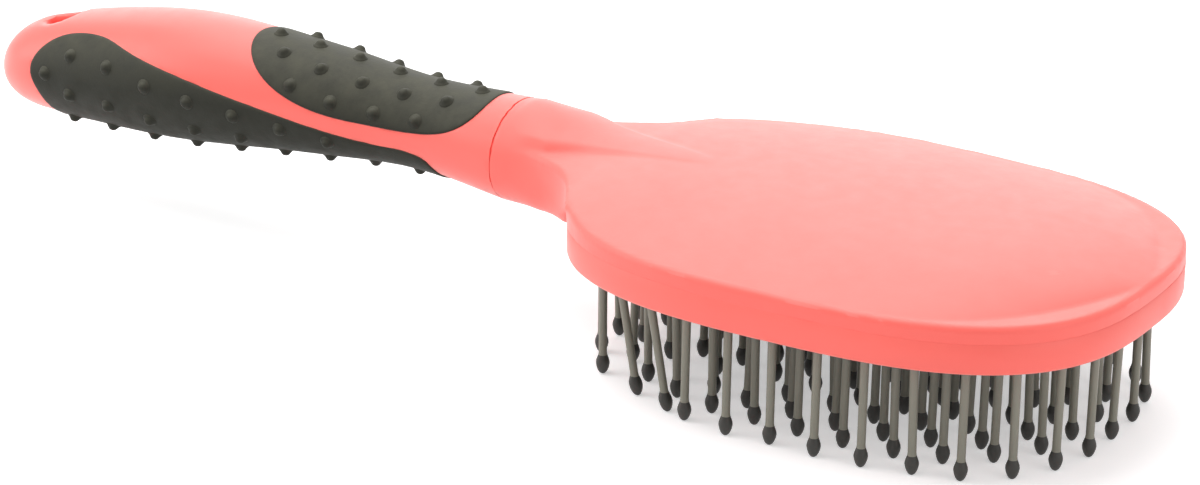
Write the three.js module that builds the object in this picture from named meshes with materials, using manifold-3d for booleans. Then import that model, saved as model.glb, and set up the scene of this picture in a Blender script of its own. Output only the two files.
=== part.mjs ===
// Paddle grooming brush for horses: a domed head with ball-tipped pins standing in a rubber pad, a neck
// that plugs into a long arched handle, and two soft nubbed grips let into the handle.
// Millimetres, +Z up. X runs from the handle's end to the head's far end and Y across the head.
import * as THREE from "three";
import { ConvexGeometry } from "three/addons/geometries/ConvexGeometry.js";
import { mergeVertices } from "three/addons/utils/BufferGeometryUtils.js";
import Module from "manifold-3d";

const wasm = await Module();
wasm.setup();

// Clearance between separate pieces
const GAP = 0.3;

// Head seen from above: a superellipse, fuller than an ellipse and a little narrower at its far end
const HEAD_LENGTH = 107;
const HEAD_WIDTH = 81;
const FAR_END_FULLNESS = 2.9;
const NECK_END_FULLNESS = 2.6;
const SIDE_FULLNESS = 2.75;
const FAR_END_NARROWING = 0.033;

// Back of the head: roof over the air space, rounded edge, short wall down to the parting line, and dome
const ROOF_THICKNESS = 2.15;
const EDGE_RADIUS = 0.9;
const SHELL_WALL_HEIGHT = 1.85;
const DOME_RISE = 3.8;
const DOME_FULLNESS = 2.3;

// The edge rises towards the neck, from a place behind the head's middle to the plan's end
const NECK_END_RISE = 2.1;
const NECK_END_RISE_FROM = 20;

// Frame ring: outer wall, the ledge under the pad and the broken lower edge
const FRAME_WALL = 2;
const LEDGE_WIDTH = 1.8;
const LEDGE_THICKNESS = 1;
const RIM_CHAMFER = 0.7;

// Rubber pad, the shell's skirt that clamps it, and the plates behind it
const PAD_THICKNESS = 1.1;
const SKIRT_WALL = 1.3;
const PLATE_THICKNESS = 1;
const PLATE_MARGIN = 1.3;
const PLATE_TO_SKIRT = 0.7;
const PIN_TRAVEL = 2.5;

// Pins: tip depth below the rim, shank, and egg-shaped ball tip
const PIN_REACH = 21.6;
const SHANK_RADIUS = 0.75;
const BALL_RADIUS = 1.25;
const BALL_LENGTH = 3.8;
const BALL_FLAT_RADIUS = 0.5;
const BALL_WIDEST_SHARE = 0.45;

// Pin layout: rings that follow the outline and a centre row, shared out among pods by bands of two rings
const PIN_RINGS = 6;
const PIN_PITCH = 8.7;
const PODS_IN_BAND = { outer: 10, middle: 8, inner: 5 };

// Neck: the round bar from the seam into the head
const NECK_LENGTH = 20.3;
const NECK_FLOOR_RISE = 3.6;
const NECK_FLOOR_RISE_LIMIT = 7;
const NECK_SWELL = 0.9;
const NECK_SWELL_LENGTH = 7;

// Ridge that the bar becomes on the head's back: [distance from the seam, crest height, half width at its edges]
const RIDGE = [
  [0, 16.3, 12],
  [6, 16.6, 8.6],
  [12, 15.8, 6.3],
  [19.5, 14.6, 4.7],
  [26.5, 13.75, 4],
  [32, 13.1, 3.3],
  [39, 12.2, 2.3],
  [44, 11.4, 1.6],
];
const RIDGE_CROWN_RADIUS = 9;
const RIDGE_FLANK_LEAN = 24;

// Shelf beside the ridge: the back carried along the neck, narrowing and flattening towards the seam
const SHELF_FROM_SEAM = 5.8;
const SHELF_LENGTH = 21;
const SHELF_HALF_WIDTH = 10.4;
const SHELF_FLARE_WIDTH = 16;
const SHELF_FLARE_FULLNESS = 2.2;
const SHELF_EDGE_FALL = 0.4;
const SHELF_SINK = 0.15;
const SHELF_CROWN = 0.5;
const SHELF_CROWN_RISE = 2;
const SHELF_KEEL = -0.3;
const SHELF_KEEL_RADIUS = 3;

// Handle: lengths between its stations behind the seam, with axis height above the rim and half height at each
const HANDLE_WIDTH_RATIO = 1.13;
const SEAM_AXIS = 6.4;
const SEAM_HALF_HEIGHT = 9.6;
const SEAM_TO_WAIST = 21;
const WAIST_AXIS = 7.2;
const WAIST_HALF_HEIGHT = 8.3;
const WAIST_TO_ARCH = 23;
const ARCH_AXIS = 7.35;
const ARCH_HALF_HEIGHT = 10.1;
const ARCH_TO_BULGE = 35;
const BULGE_AXIS = 6;
const BULGE_HALF_HEIGHT = 12.3;
const BULGE_TO_CAP = 19;
const CAP_AXIS = 4.15;
const CAP_HALF_HEIGHT = 11;
const CAP_LENGTH = 23.3;
const CAP_FULLNESS = 5;
const END_AXIS = 0.85;
const END_HALF_HEIGHT = 8.2;

// Tang of the neck inside the handle, and the hole at the handle's end
const TANG_LENGTH = 34;
const TANG_HALF_WIDTH = 6;
const TANG_HALF_HEIGHT = 4;
const HANG_HOLE_FROM_END = 13.6;
const HANG_HOLE_RADIUS = 3.3;
const HANG_HOLE_FLARE = 1;

// Soft grips: depth let into the handle, height proud of it, and their outlines
const GRIP_DEPTH = 1.6;
const GRIP_PROUD = 0.3;
const TOP_GRIP_FROM_SEAM = 5;
const TOP_GRIP_LENGTH = 54;
const TOP_GRIP_WRAP = 84;
const TOP_GRIP_FRONT_FULLNESS = 3;
const TOP_GRIP_REAR_FULLNESS = 2;
const LOWER_GRIP_FROM_SEAM = 13.5;
const LOWER_GRIP_FROM_END = 13.3;
const LOWER_GRIP_MIDDLE_SHARE = 0.6;

// Half outline of the lower grip: share of its length from the front, and wrap in degrees from underneath
const LOWER_GRIP_OUTLINE = [
  [0, 0],
  [0.018, 58],
  [0.066, 71],
  [0.177, 71.5],
  [0.4, 91.5],
  [0.685, 118],
  [0.822, 137.5],
  [0.917, 139],
  [0.976, 124],
  [1, 98],
  [0.975, 60],
  [0.96, 0],
];

// Nubs on the grips, and their rows: share of the local wrap, shift in pitches, least wrap in degrees
const NUB_RADIUS = 1.15;
const NUB_TOP_RADIUS = 0.7;
const NUB_HEIGHT = 1.1;
const NUB_SHOULDER_SHARE = 0.85;
const NUB_EDGE_DISTANCE = 3.8;
const LOWER_END_NUB_DISTANCE = 4.4;
const LOWER_END_NUB_TURN = 95;
const TOP_NUB_PITCH = 9.2;
const TOP_NUB_ROWS = [
  [0, 0, 0],
  [0.42, 0.5, 0],
  [0.81, 0, 0],
];
const LOWER_NUB_PITCH = 10;
const LOWER_NUB_ROWS = [
  [0.22, 0.38, 0],
  [0.53, 0, 95],
  [0.82, 0, 75],
];

// Facets
const PIN_SIDES = 5;
const NUB_SIDES = 5;
const PIN_PATH_STEPS = 720;
const HANDLE_PATH_STEPS = 400;
const PLAN_STEPS = 48;
const HANDLE_SIDES = 24;
const HANDLE_STEPS = 14;
const CAP_STEPS = 5;
const NECK_STEPS = 6;
const SHELF_STEPS = 6;
const NORMAL_STEP = 0.05;
const GRIP_OUTLINE_STEPS = 32;
const GRIP_RINGS = 5;
const HOLE_SIDES = 16;
const SHELF_CROWN_PART = 0.6;
const ROUND_CORNER_PART = 0.29;

// Colours and finishes
const coral = new THREE.MeshStandardMaterial({ color: 0xff8078, roughness: 0.42, metalness: 0 });
const gripGrey = new THREE.MeshStandardMaterial({ color: 0x4b4c45, roughness: 0.8, metalness: 0 });
const padGrey = new THREE.MeshStandardMaterial({ color: 0x3a3935, roughness: 0.75, metalness: 0 });
const pinGrey = new THREE.MeshStandardMaterial({ color: 0x5c5a53, roughness: 0.45, metalness: 0 });

// Places worked out from the sizes, in the head's frame: X from the head's middle, Z from the rim
const SEAM_X = -HEAD_LENGTH / 2 - NECK_LENGTH;
const PAD_FLOOR = LEDGE_THICKNESS + GAP;
const PAD_TOP = PAD_FLOOR + PAD_THICKNESS;
const PLATE_FLOOR = PAD_TOP + GAP;
const PLATE_TOP = PLATE_FLOOR + PLATE_THICKNESS;
const CEILING = PLATE_TOP + PIN_TRAVEL + GAP;
const EDGE_HEIGHT = CEILING + ROOF_THICKNESS;
const SHELL_FLOOR = EDGE_HEIGHT - EDGE_RADIUS - SHELL_WALL_HEIGHT;
const FRAME_HEIGHT = SHELL_FLOOR - GAP;
const SKIRT_INSET = FRAME_WALL + GAP;
const CHAMBER_INSET = SKIRT_INSET + SKIRT_WALL;
const PIN_EDGE_DISTANCE = CHAMBER_INSET + PLATE_TO_SKIRT + PLATE_MARGIN;
const CAP_START = -SEAM_TO_WAIST - WAIST_TO_ARCH - ARCH_TO_BULGE - BULGE_TO_CAP;
const HANDLE_LENGTH = CAP_LENGTH - CAP_START;
const LOWER_GRIP_LENGTH = HANDLE_LENGTH - LOWER_GRIP_FROM_SEAM - LOWER_GRIP_FROM_END;
const RING_STEP = (HEAD_WIDTH / 2 - PIN_EDGE_DISTANCE) / PIN_RINGS;
const OVERSHOOT = 5;

// A closed geometry as a solid, and a solid back as a geometry
function solid(geometry) {
  const bare = geometry.clone();
  bare.deleteAttribute("normal");
  bare.deleteAttribute("uv");
  const merged = mergeVertices(bare, 1e-4);
  return new wasm.Manifold(
    new wasm.Mesh({
      numProp: 3,
      vertProperties: new Float32Array(merged.attributes.position.array),
      triVerts: new Uint32Array(merged.index.array),
    }),
  );
}

function geometryOf(body) {
  const mesh = body.getMesh();
  const geometry = new THREE.BufferGeometry();
  geometry.setAttribute("position", new THREE.BufferAttribute(mesh.vertProperties, 3));
  geometry.setIndex(new THREE.BufferAttribute(mesh.triVerts, 1));
  geometry.computeVertexNormals();
  return geometry;
}

function part(name, body, material) {
  const mesh = new THREE.Mesh(geometryOf(body), material);
  mesh.name = name;
  return mesh;
}

// A skin over rings of points that turn the same way, closed at both ends by a fan to a point
function loft(rings, startPoint, endPoint) {
  const count = rings[0].length;
  const points = [...rings.flat(), startPoint, endPoint];
  const start = points.length - 2;
  const end = points.length - 1;
  const lastRing = (rings.length - 1) * count;
  const faces = [];
  for (let j = 0; j < count; j += 1) {
    const next = (j + 1) % count;
    faces.push(start, next, j);
    faces.push(end, lastRing + j, lastRing + next);
    for (let row = 0; row < lastRing; row += count) {
      faces.push(row + j, row + next, row + count + next);
      faces.push(row + j, row + count + next, row + count + j);
    }
  }
  const geometry = new THREE.BufferGeometry().setFromPoints(points);
  geometry.setIndex(faces);
  return solid(geometry);
}

const middleOf = (ring) =>
  ring.reduce((sum, point) => sum.add(point), new THREE.Vector3()).divideScalar(ring.length);
const flatLoft = (rings) => loft(rings, middleOf(rings[0]), middleOf(rings[rings.length - 1]));

// A turned solid about the Z axis, from [radius, height] points that run upwards from axis to axis
function turned(profile, sides) {
  const points = profile.map(([radius, height]) => new THREE.Vector2(radius, height));
  return solid(new THREE.LatheGeometry(points, sides).rotateX(Math.PI / 2));
}

const signedPower = (value, power) => Math.sign(value) * Math.abs(value) ** power;

// A point of the head's plan, drawn in from the edge by an inset
function planPoint(angle, inset) {
  const along = Math.cos(angle);
  const fullness = along > 0 ? FAR_END_FULLNESS : NECK_END_FULLNESS;
  const u = signedPower(along, 2 / fullness);
  const v = signedPower(Math.sin(angle), 2 / SIDE_FULLNESS);
  const narrowing = 1 - FAR_END_NARROWING * u;
  return new THREE.Vector2((HEAD_LENGTH / 2 - inset) * u, (HEAD_WIDTH / 2 - inset) * v * narrowing);
}

function planRing(inset, height, steps = PLAN_STEPS) {
  return Array.from({ length: steps }, (_, i) => {
    const { x, y } = planPoint((i / steps) * 2 * Math.PI, inset);
    return new THREE.Vector3(x, y, height);
  });
}

const planPrism = (inset, floor, top) => flatLoft([planRing(inset, floor), planRing(inset, top)]);

// Height of the back's edge at a place along X
function edgeHeight(x) {
  const share = (-NECK_END_RISE_FROM - x) / (HEAD_LENGTH / 2 - NECK_END_RISE_FROM);
  return EDGE_HEIGHT + NECK_END_RISE * THREE.MathUtils.clamp(share, 0, 1) ** 3;
}

// Height of the domed back: full along the spine at the neck end, and down to the edge all round
function backHeight(x, y) {
  const halfLength = HEAD_LENGTH / 2 - EDGE_RADIUS;
  const u = THREE.MathUtils.clamp(x / halfLength, -1, 1);
  const fullness = u > 0 ? FAR_END_FULLNESS : NECK_END_FULLNESS;
  const acrossShare = (1 - Math.abs(u) ** fullness) ** (1 / SIDE_FULLNESS);
  const halfWidth = (HEAD_WIDTH / 2 - EDGE_RADIUS) * acrossShare * (1 - FAR_END_NARROWING * u);
  const across = halfWidth > 0 ? Math.min(1, Math.abs(y) / halfWidth) : 1;
  const along = Math.max(0, u);
  const fall = Math.min(1, across ** DOME_FULLNESS + along ** (2 * DOME_FULLNESS));
  const edge = edgeHeight(x);
  return edge + (EDGE_HEIGHT + DOME_RISE - edge) * (1 - fall);
}

// Outer skin of the head above the parting line: wall, rounded edge and domed back
function headCap() {
  const rounding = [0, 30, 60, 90].map((degrees) => {
    const turn = THREE.MathUtils.degToRad(degrees);
    const inset = EDGE_RADIUS * (1 - Math.cos(turn));
    const drop = EDGE_RADIUS * (1 - Math.sin(turn));
    return planRing(inset, 0).map(({ x, y }) => new THREE.Vector3(x, y, edgeHeight(x) - drop));
  });
  const back = [0.9, 0.75, 0.5, 0.25].map((share) =>
    planRing(EDGE_RADIUS, 0).map(({ x, y }) => {
      const height = backHeight(x * share, y * share);
      return new THREE.Vector3(x * share, y * share, height);
    }),
  );
  const rings = [planRing(0, SHELL_FLOOR), ...rounding, ...back];
  return loft(rings, middleOf(rings[0]), new THREE.Vector3(0, 0, backHeight(0, 0)));
}

// An oval ring across X
function ovalRing(x, axis, halfWidth, halfHeight, sides = HANDLE_SIDES) {
  return Array.from({ length: sides }, (_, i) => {
    const turn = (i / sides) * 2 * Math.PI;
    return new THREE.Vector3(x, -halfWidth * Math.sin(turn), axis + halfHeight * Math.cos(turn));
  });
}

// Round bar of the neck, its floor rising as it runs into the head
function neckBar() {
  const length = RIDGE[RIDGE.length - 1][0];
  const rings = Array.from({ length: NECK_STEPS + 1 }, (_, i) => {
    const distance = (length * i) / NECK_STEPS;
    const swell = NECK_SWELL * Math.min(1, distance / NECK_SWELL_LENGTH);
    const rise = Math.min(NECK_FLOOR_RISE * (distance / NECK_LENGTH) ** 3, NECK_FLOOR_RISE_LIMIT);
    const top = SEAM_AXIS + SEAM_HALF_HEIGHT + swell;
    const floor = SEAM_AXIS - SEAM_HALF_HEIGHT + rise;
    const halfWidth = SEAM_HALF_HEIGHT * HANDLE_WIDTH_RATIO;
    return ovalRing(SEAM_X + distance, (top + floor) / 2, halfWidth, (top - floor) / 2);
  });
  return flatLoft(rings);
}

// A ring across X from the right half of its section, [half width, height] points from crest to keel
function sectionRing(x, crest, side, keel) {
  const left = side.map(([y, z]) => new THREE.Vector3(x, -y, z));
  const right = side.map(([y, z]) => new THREE.Vector3(x, y, z)).reverse();
  return [new THREE.Vector3(x, 0, crest), ...left, new THREE.Vector3(x, 0, keel), ...right];
}

// Ridge: a crowned top between leaning flanks, sinking into the domed back
function ridge() {
  const lean = Math.tan(THREE.MathUtils.degToRad(RIDGE_FLANK_LEAN));
  const keel = SEAM_AXIS - SEAM_HALF_HEIGHT - GAP;
  const rings = RIDGE.map(([distance, crest, halfWidth]) => {
    const crownAt = (y) => crest - (y * y) / (2 * RIDGE_CROWN_RADIUS);
    const foot = halfWidth + lean * (crownAt(halfWidth) - keel);
    const side = [
      [halfWidth / 2, crownAt(halfWidth / 2)],
      [halfWidth, crownAt(halfWidth)],
      [foot, keel],
    ];
    return sectionRing(SEAM_X + distance, crest, side, keel);
  });
  return flatLoft(rings);
}

// Shelf: a crowned, round-edged bar that flares out into the head's wall
function shelf() {
  const rings = Array.from({ length: SHELF_STEPS + 1 }, (_, i) => {
    const share = i / SHELF_STEPS;
    const halfWidth = SHELF_HALF_WIDTH + SHELF_FLARE_WIDTH * share ** SHELF_FLARE_FULLNESS;
    const x = SEAM_X + SHELF_FROM_SEAM + SHELF_LENGTH * share;
    const edge = edgeHeight(x) - SHELF_SINK - SHELF_EDGE_FALL * (1 - share);
    const flat = halfWidth - EDGE_RADIUS;
    const crown = SHELF_CROWN + SHELF_CROWN_RISE * share ** 2;
    const crownAt = (part) => edge + crown * (1 - part ** DOME_FULLNESS);
    const side = [
      [flat * SHELF_CROWN_PART, crownAt(SHELF_CROWN_PART)],
      [flat, edge],
      [halfWidth - EDGE_RADIUS * ROUND_CORNER_PART, edge - EDGE_RADIUS * ROUND_CORNER_PART],
      [halfWidth, edge - EDGE_RADIUS],
      [halfWidth, SHELF_KEEL + SHELF_KEEL_RADIUS],
      [halfWidth - SHELF_KEEL_RADIUS * ROUND_CORNER_PART, SHELF_KEEL + SHELF_KEEL_RADIUS * ROUND_CORNER_PART],
      [halfWidth - SHELF_KEEL_RADIUS, SHELF_KEEL],
    ];
    return sectionRing(x, crownAt(0), side, SHELF_KEEL);
  });
  return flatLoft(rings);
}

function tang(clearance) {
  const front = SEAM_X + OVERSHOOT;
  const rear = SEAM_X - TANG_LENGTH - clearance;
  const halfWidth = TANG_HALF_WIDTH + clearance;
  const halfHeight = TANG_HALF_HEIGHT + clearance;
  return flatLoft([
    ovalRing(rear, SEAM_AXIS, halfWidth, halfHeight, HOLE_SIDES),
    ovalRing(front, SEAM_AXIS, halfWidth, halfHeight, HOLE_SIDES),
  ]);
}

function backShell() {
  const frameRoom = planPrism(-GAP, -OVERSHOOT, SHELL_FLOOR);
  const skirt = planPrism(SKIRT_INSET, PAD_TOP + GAP, SHELL_FLOOR + EDGE_RADIUS / 2);
  const chamber = planPrism(CHAMBER_INSET, -OVERSHOOT, CEILING);
  const outside = headCap().add(neckBar().intersect(ridge())).add(shelf());
  return outside.subtract(frameRoom).add(skirt).subtract(chamber).add(tang(0));
}

function cushionFrame() {
  const outside = flatLoft([
    planRing(RIM_CHAMFER, 0),
    planRing(0, RIM_CHAMFER),
    planRing(0, FRAME_HEIGHT),
  ]);
  const ledgeInset = FRAME_WALL + LEDGE_WIDTH;
  const inside = flatLoft([
    planRing(ledgeInset, -OVERSHOOT),
    planRing(ledgeInset, LEDGE_THICKNESS),
    planRing(FRAME_WALL, LEDGE_THICKNESS),
    planRing(FRAME_WALL, FRAME_HEIGHT + OVERSHOOT),
  ]);
  return outside.subtract(inside);
}

// Pins, spaced evenly along each ring and staggered from ring to ring, with the pod that each belongs to
function pinPods() {
  const pods = new Map();
  const place = (pod, spot) => pods.set(pod, [...(pods.get(pod) ?? []), spot]);
  const bands = Object.entries(PODS_IN_BAND);
  for (let ring = 0; ring < PIN_RINGS; ring += 1) {
    const inset = PIN_EDGE_DISTANCE + ring * RING_STEP;
    const outline = planRing(inset, 0, PIN_PATH_STEPS);
    const path = new THREE.Path([...outline, outline[0]].map(({ x, y }) => new THREE.Vector2(x, y)));
    const count = Math.round(path.getLength() / PIN_PITCH);
    const spots = path.getSpacedPoints(2 * count);
    const [band, podCount] = bands[Math.floor((ring * bands.length) / PIN_RINGS)];
    for (let half = ring % 2; half < 2 * count; half += 2) {
      const pod = Math.floor((half / (2 * count)) * podCount + 0.5) % podCount;
      place(`${band}_pin_pod_${String(pod + 1).padStart(2, "0")}`, spots[half]);
    }
  }
  const rowLength = HEAD_LENGTH - HEAD_WIDTH;
  const rowSteps = Math.max(1, Math.round(rowLength / PIN_PITCH));
  for (let i = 0; i <= rowSteps; i += 1) {
    place("centre_pin_pod", new THREE.Vector2((i / rowSteps - 0.5) * rowLength, 0));
  }
  return pods;
}

function pinPad(pods) {
  const hole = turned(
    [
      [0, -OVERSHOOT],
      [SHANK_RADIUS + GAP, -OVERSHOOT],
      [SHANK_RADIUS + GAP, PAD_TOP + OVERSHOOT],
      [0, PAD_TOP + OVERSHOOT],
    ],
    PIN_SIDES,
  );
  const spots = [...pods.values()].flat();
  const holes = wasm.Manifold.union(spots.map(({ x, y }) => hole.translate([x, y, 0])));
  return planPrism(SKIRT_INSET, PAD_FLOOR, PAD_TOP).subtract(holes);
}

// One pod about its own middle: a thin plate behind the pad with its pins
function pinPod(spots) {
  const pin = turned(
    [
      [0, -PIN_REACH],
      [BALL_FLAT_RADIUS, -PIN_REACH],
      [BALL_RADIUS, -PIN_REACH + BALL_LENGTH * BALL_WIDEST_SHARE],
      [SHANK_RADIUS, -PIN_REACH + BALL_LENGTH],
      [SHANK_RADIUS, PLATE_FLOOR + PLATE_THICKNESS / 2],
      [0, PLATE_FLOOR + PLATE_THICKNESS / 2],
    ],
    PIN_SIDES,
  );
  const corners = spots.flatMap(({ x, y }) =>
    Array.from({ length: PIN_SIDES }, (_, i) => {
      const turn = ((i + 0.5) / PIN_SIDES) * 2 * Math.PI;
      const cornerX = x + PLATE_MARGIN * Math.cos(turn);
      const cornerY = y + PLATE_MARGIN * Math.sin(turn);
      return [PLATE_FLOOR, PLATE_TOP].map((height) => new THREE.Vector3(cornerX, cornerY, height));
    }).flat(),
  );
  const plate = solid(new ConvexGeometry(corners));
  return wasm.Manifold.union([plate, ...spots.map(({ x, y }) => pin.translate([x, y, 0]))]);
}

// Handle profile behind the seam: X is minus the distance from the seam, with axis height and half height
const handleCurve = new THREE.CatmullRomCurve3(
  [
    [0, SEAM_AXIS, SEAM_HALF_HEIGHT],
    [-SEAM_TO_WAIST, WAIST_AXIS, WAIST_HALF_HEIGHT],
    [-SEAM_TO_WAIST - WAIST_TO_ARCH, ARCH_AXIS, ARCH_HALF_HEIGHT],
    [CAP_START + BULGE_TO_CAP, BULGE_AXIS, BULGE_HALF_HEIGHT],
    [CAP_START, CAP_AXIS, CAP_HALF_HEIGHT],
    [-HANDLE_LENGTH, END_AXIS, END_HALF_HEIGHT],
  ].map(([x, axis, halfHeight]) => new THREE.Vector3(x, axis, halfHeight)),
);
const handleStations = handleCurve.getPoints(HANDLE_PATH_STEPS);

function handleAt(x) {
  const index = handleStations.findIndex((station) => station.x <= x);
  const behind = handleStations[Math.max(1, index)];
  const ahead = handleStations[Math.max(1, index) - 1];
  const share = (x - ahead.x) / (behind.x - ahead.x);
  const { y, z } = ahead.clone().lerp(behind, share);
  const capShare = THREE.MathUtils.clamp((CAP_START - x) / CAP_LENGTH, 0, 1);
  return { axis: y, halfHeight: z * Math.sqrt(1 - capShare ** CAP_FULLNESS) };
}

// A point on the handle's surface, lifted off it, at an angle from the top towards -Y
function handlePoint(x, turn, lift) {
  const { axis, halfHeight } = handleAt(x);
  const halfWidth = halfHeight * HANDLE_WIDTH_RATIO;
  const y = -(halfWidth + lift) * Math.sin(turn);
  return new THREE.Vector3(x, y, axis + (halfHeight + lift) * Math.cos(turn));
}

function handleNormal(x, turn) {
  const along = handlePoint(x + NORMAL_STEP, turn, 0).sub(handlePoint(x - NORMAL_STEP, turn, 0));
  const around = handlePoint(x, turn + NORMAL_STEP, 0).sub(handlePoint(x, turn - NORMAL_STEP, 0));
  return around.cross(along).normalize();
}

// Grip outlines: rings of (x, wrap angle) points about a centre, on the top or the underside of the handle
function topGrip() {
  const centre = new THREE.Vector2(-TOP_GRIP_FROM_SEAM - TOP_GRIP_LENGTH / 2, 0);
  const wrap = THREE.MathUtils.degToRad(TOP_GRIP_WRAP);
  const outline = Array.from({ length: GRIP_OUTLINE_STEPS }, (_, i) => {
    const turn = (i / GRIP_OUTLINE_STEPS) * 2 * Math.PI;
    const fullness = Math.cos(turn) > 0 ? TOP_GRIP_FRONT_FULLNESS : TOP_GRIP_REAR_FULLNESS;
    const along = (TOP_GRIP_LENGTH / 2) * signedPower(Math.cos(turn), 2 / fullness);
    return new THREE.Vector2(centre.x + along, wrap * signedPower(Math.sin(turn), 2 / fullness));
  });
  return { outline, centre, facing: 0, rows: TOP_NUB_ROWS, pitch: TOP_NUB_PITCH, endNubs: [] };
}

function lowerGrip() {
  const half = LOWER_GRIP_OUTLINE.map(([share, wrap]) => {
    const x = -LOWER_GRIP_FROM_SEAM - LOWER_GRIP_LENGTH * share;
    return new THREE.Vector2(x, THREE.MathUtils.degToRad(wrap));
  });
  const otherHalf = half.slice(1, -1).map(({ x, y }) => new THREE.Vector2(x, -y));
  const loop = [...half, ...otherHalf.reverse(), half[0]];
  const outline = new THREE.SplineCurve(loop).getPoints(GRIP_OUTLINE_STEPS).slice(0, -1);
  const middle = LOWER_GRIP_FROM_SEAM + LOWER_GRIP_MIDDLE_SHARE * LOWER_GRIP_LENGTH;
  const centre = new THREE.Vector2(-middle, 0);
  const endX = -LOWER_GRIP_FROM_SEAM - LOWER_GRIP_LENGTH + LOWER_END_NUB_DISTANCE;
  const endTurn = THREE.MathUtils.degToRad(LOWER_END_NUB_TURN);
  const endNubs = [new THREE.Vector2(endX, endTurn), new THREE.Vector2(endX, -endTurn)];
  return { outline, centre, facing: Math.PI, rows: LOWER_NUB_ROWS, pitch: LOWER_NUB_PITCH, endNubs };
}

// A grip's outline moved outwards all round by a distance on the handle's surface
function grownOutline(outline, distance) {
  return outline.map((point, i) => {
    const ahead = outline[(i + 1) % outline.length];
    const behind = outline[(i + outline.length - 1) % outline.length];
    const along = ahead.x - behind.x;
    const around = (ahead.y - behind.y) * WAIST_HALF_HEIGHT;
    const step = distance / Math.hypot(along, around);
    return new THREE.Vector2(point.x + step * around, point.y - (step * along) / WAIST_HALF_HEIGHT);
  });
}

// A block astride the handle's surface inside a grip's outline
function wrappedBlock({ outline, centre, facing }) {
  const ringAt = (share, lift) =>
    outline.map((edge) => {
      const { x, y } = centre.clone().lerp(edge, share);
      return handlePoint(x, facing + y, lift);
    });
  const shares = Array.from({ length: GRIP_RINGS }, (_, i) => (i + 1) / GRIP_RINGS);
  const outer = shares.map((share) => ringAt(share, OVERSHOOT));
  const inner = shares.map((share) => ringAt(share, -OVERSHOOT)).reverse();
  const outerMiddle = handlePoint(centre.x, facing, OVERSHOOT);
  const innerMiddle = handlePoint(centre.x, facing, -OVERSHOOT);
  return loft([...outer, ...inner], outerMiddle, innerMiddle);
}

// Handle without its hollows, drawn out from its surface by a lift
function handleBody(lift) {
  const capSteps = Array.from({ length: CAP_STEPS }, (_, i) => {
    const turn = ((CAP_STEPS - i) / (CAP_STEPS + 0.5)) * (Math.PI / 2);
    return CAP_START - CAP_LENGTH * Math.sin(turn);
  });
  const steps = Array.from({ length: HANDLE_STEPS + 1 }, (_, i) =>
    THREE.MathUtils.lerp(CAP_START, -GAP, i / HANDLE_STEPS),
  );
  const rings = [...capSteps, ...steps].map((x) => {
    const { axis, halfHeight } = handleAt(x);
    const height = Math.max(GAP, halfHeight + lift);
    return ovalRing(x, axis, Math.max(GAP, halfHeight * HANDLE_WIDTH_RATIO + lift), height);
  });
  const end = new THREE.Vector3(-HANDLE_LENGTH, 0, END_AXIS);
  return loft(rings, end, middleOf(rings[rings.length - 1]));
}

// The hollow that a grip is let into
function recess(grip) {
  const roomy = { ...grip, outline: grownOutline(grip.outline, GAP) };
  return wrappedBlock(roomy).subtract(handleBody(-GRIP_DEPTH - GAP));
}

// Wrap angles at which a grip's outline crosses a place along the handle
function wrapsAt(outline, x) {
  return outline.flatMap((from, i) => {
    const to = outline[(i + 1) % outline.length];
    const crosses = from.x > x !== to.x > x;
    return crosses ? [THREE.MathUtils.mapLinear(x, from.x, to.x, from.y, to.y)] : [];
  });
}

// Nubs in rows along a grip, wherever a whole one stands inside the outline
function nubs({ outline, facing, rows, pitch, endNubs }) {
  const nub = turned(
    [
      [0, -NUB_HEIGHT],
      [NUB_RADIUS, -NUB_HEIGHT / 2],
      [NUB_TOP_RADIUS, NUB_HEIGHT * NUB_SHOULDER_SHARE],
      [0, NUB_HEIGHT],
    ],
    NUB_SIDES,
  );
  const room = grownOutline(outline, -NUB_RADIUS - GAP);
  const front = Math.max(...outline.map(({ x }) => x)) - NUB_EDGE_DISTANCE;
  const rear = Math.min(...outline.map(({ x }) => x)) + NUB_EDGE_DISTANCE;
  const placed = endNubs.map(({ x, y }) => nub.transform(standing(x, facing + y)));
  for (const [share, shift, leastWrap] of rows) {
    for (let x = front - shift * pitch; x > rear; x -= pitch) {
      const wrap = Math.max(0, ...wrapsAt(outline, x));
      const isWide = wrap >= THREE.MathUtils.degToRad(leastWrap);
      for (const turn of new Set([share * wrap, -share * wrap])) {
        const isInside = wrapsAt(room, x).filter((edge) => edge > turn).length % 2 === 1;
        if (isWide && isInside) placed.push(nub.transform(standing(x, facing + turn)));
      }
    }
  }
  return placed;
}

// Placement upright on a grip's surface
function standing(x, turn) {
  const upright = new THREE.Quaternion().setFromUnitVectors(new THREE.Vector3(0, 0, 1), handleNormal(x, turn));
  const spot = handlePoint(x, turn, GRIP_PROUD);
  return new THREE.Matrix4().compose(spot, upright, new THREE.Vector3(1, 1, 1)).elements;
}

function gripBody(grip) {
  const skin = handleBody(GRIP_PROUD).subtract(handleBody(-GRIP_DEPTH));
  return wasm.Manifold.union([wrappedBlock(grip).intersect(skin), ...nubs(grip)]);
}

function hangHole() {
  const x = -HANDLE_LENGTH + HANG_HOLE_FROM_END;
  const { axis, halfHeight } = handleAt(x);
  const flare = HANG_HOLE_RADIUS + HANG_HOLE_FLARE;
  const hole = turned(
    [
      [0, -halfHeight - OVERSHOOT],
      [flare + OVERSHOOT, -halfHeight - OVERSHOOT],
      [HANG_HOLE_RADIUS, -halfHeight + HANG_HOLE_FLARE],
      [HANG_HOLE_RADIUS, halfHeight - HANG_HOLE_FLARE],
      [flare + OVERSHOOT, halfHeight + OVERSHOOT],
      [0, halfHeight + OVERSHOOT],
    ],
    HOLE_SIDES,
  );
  return hole.translate([x, 0, axis]);
}

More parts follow.
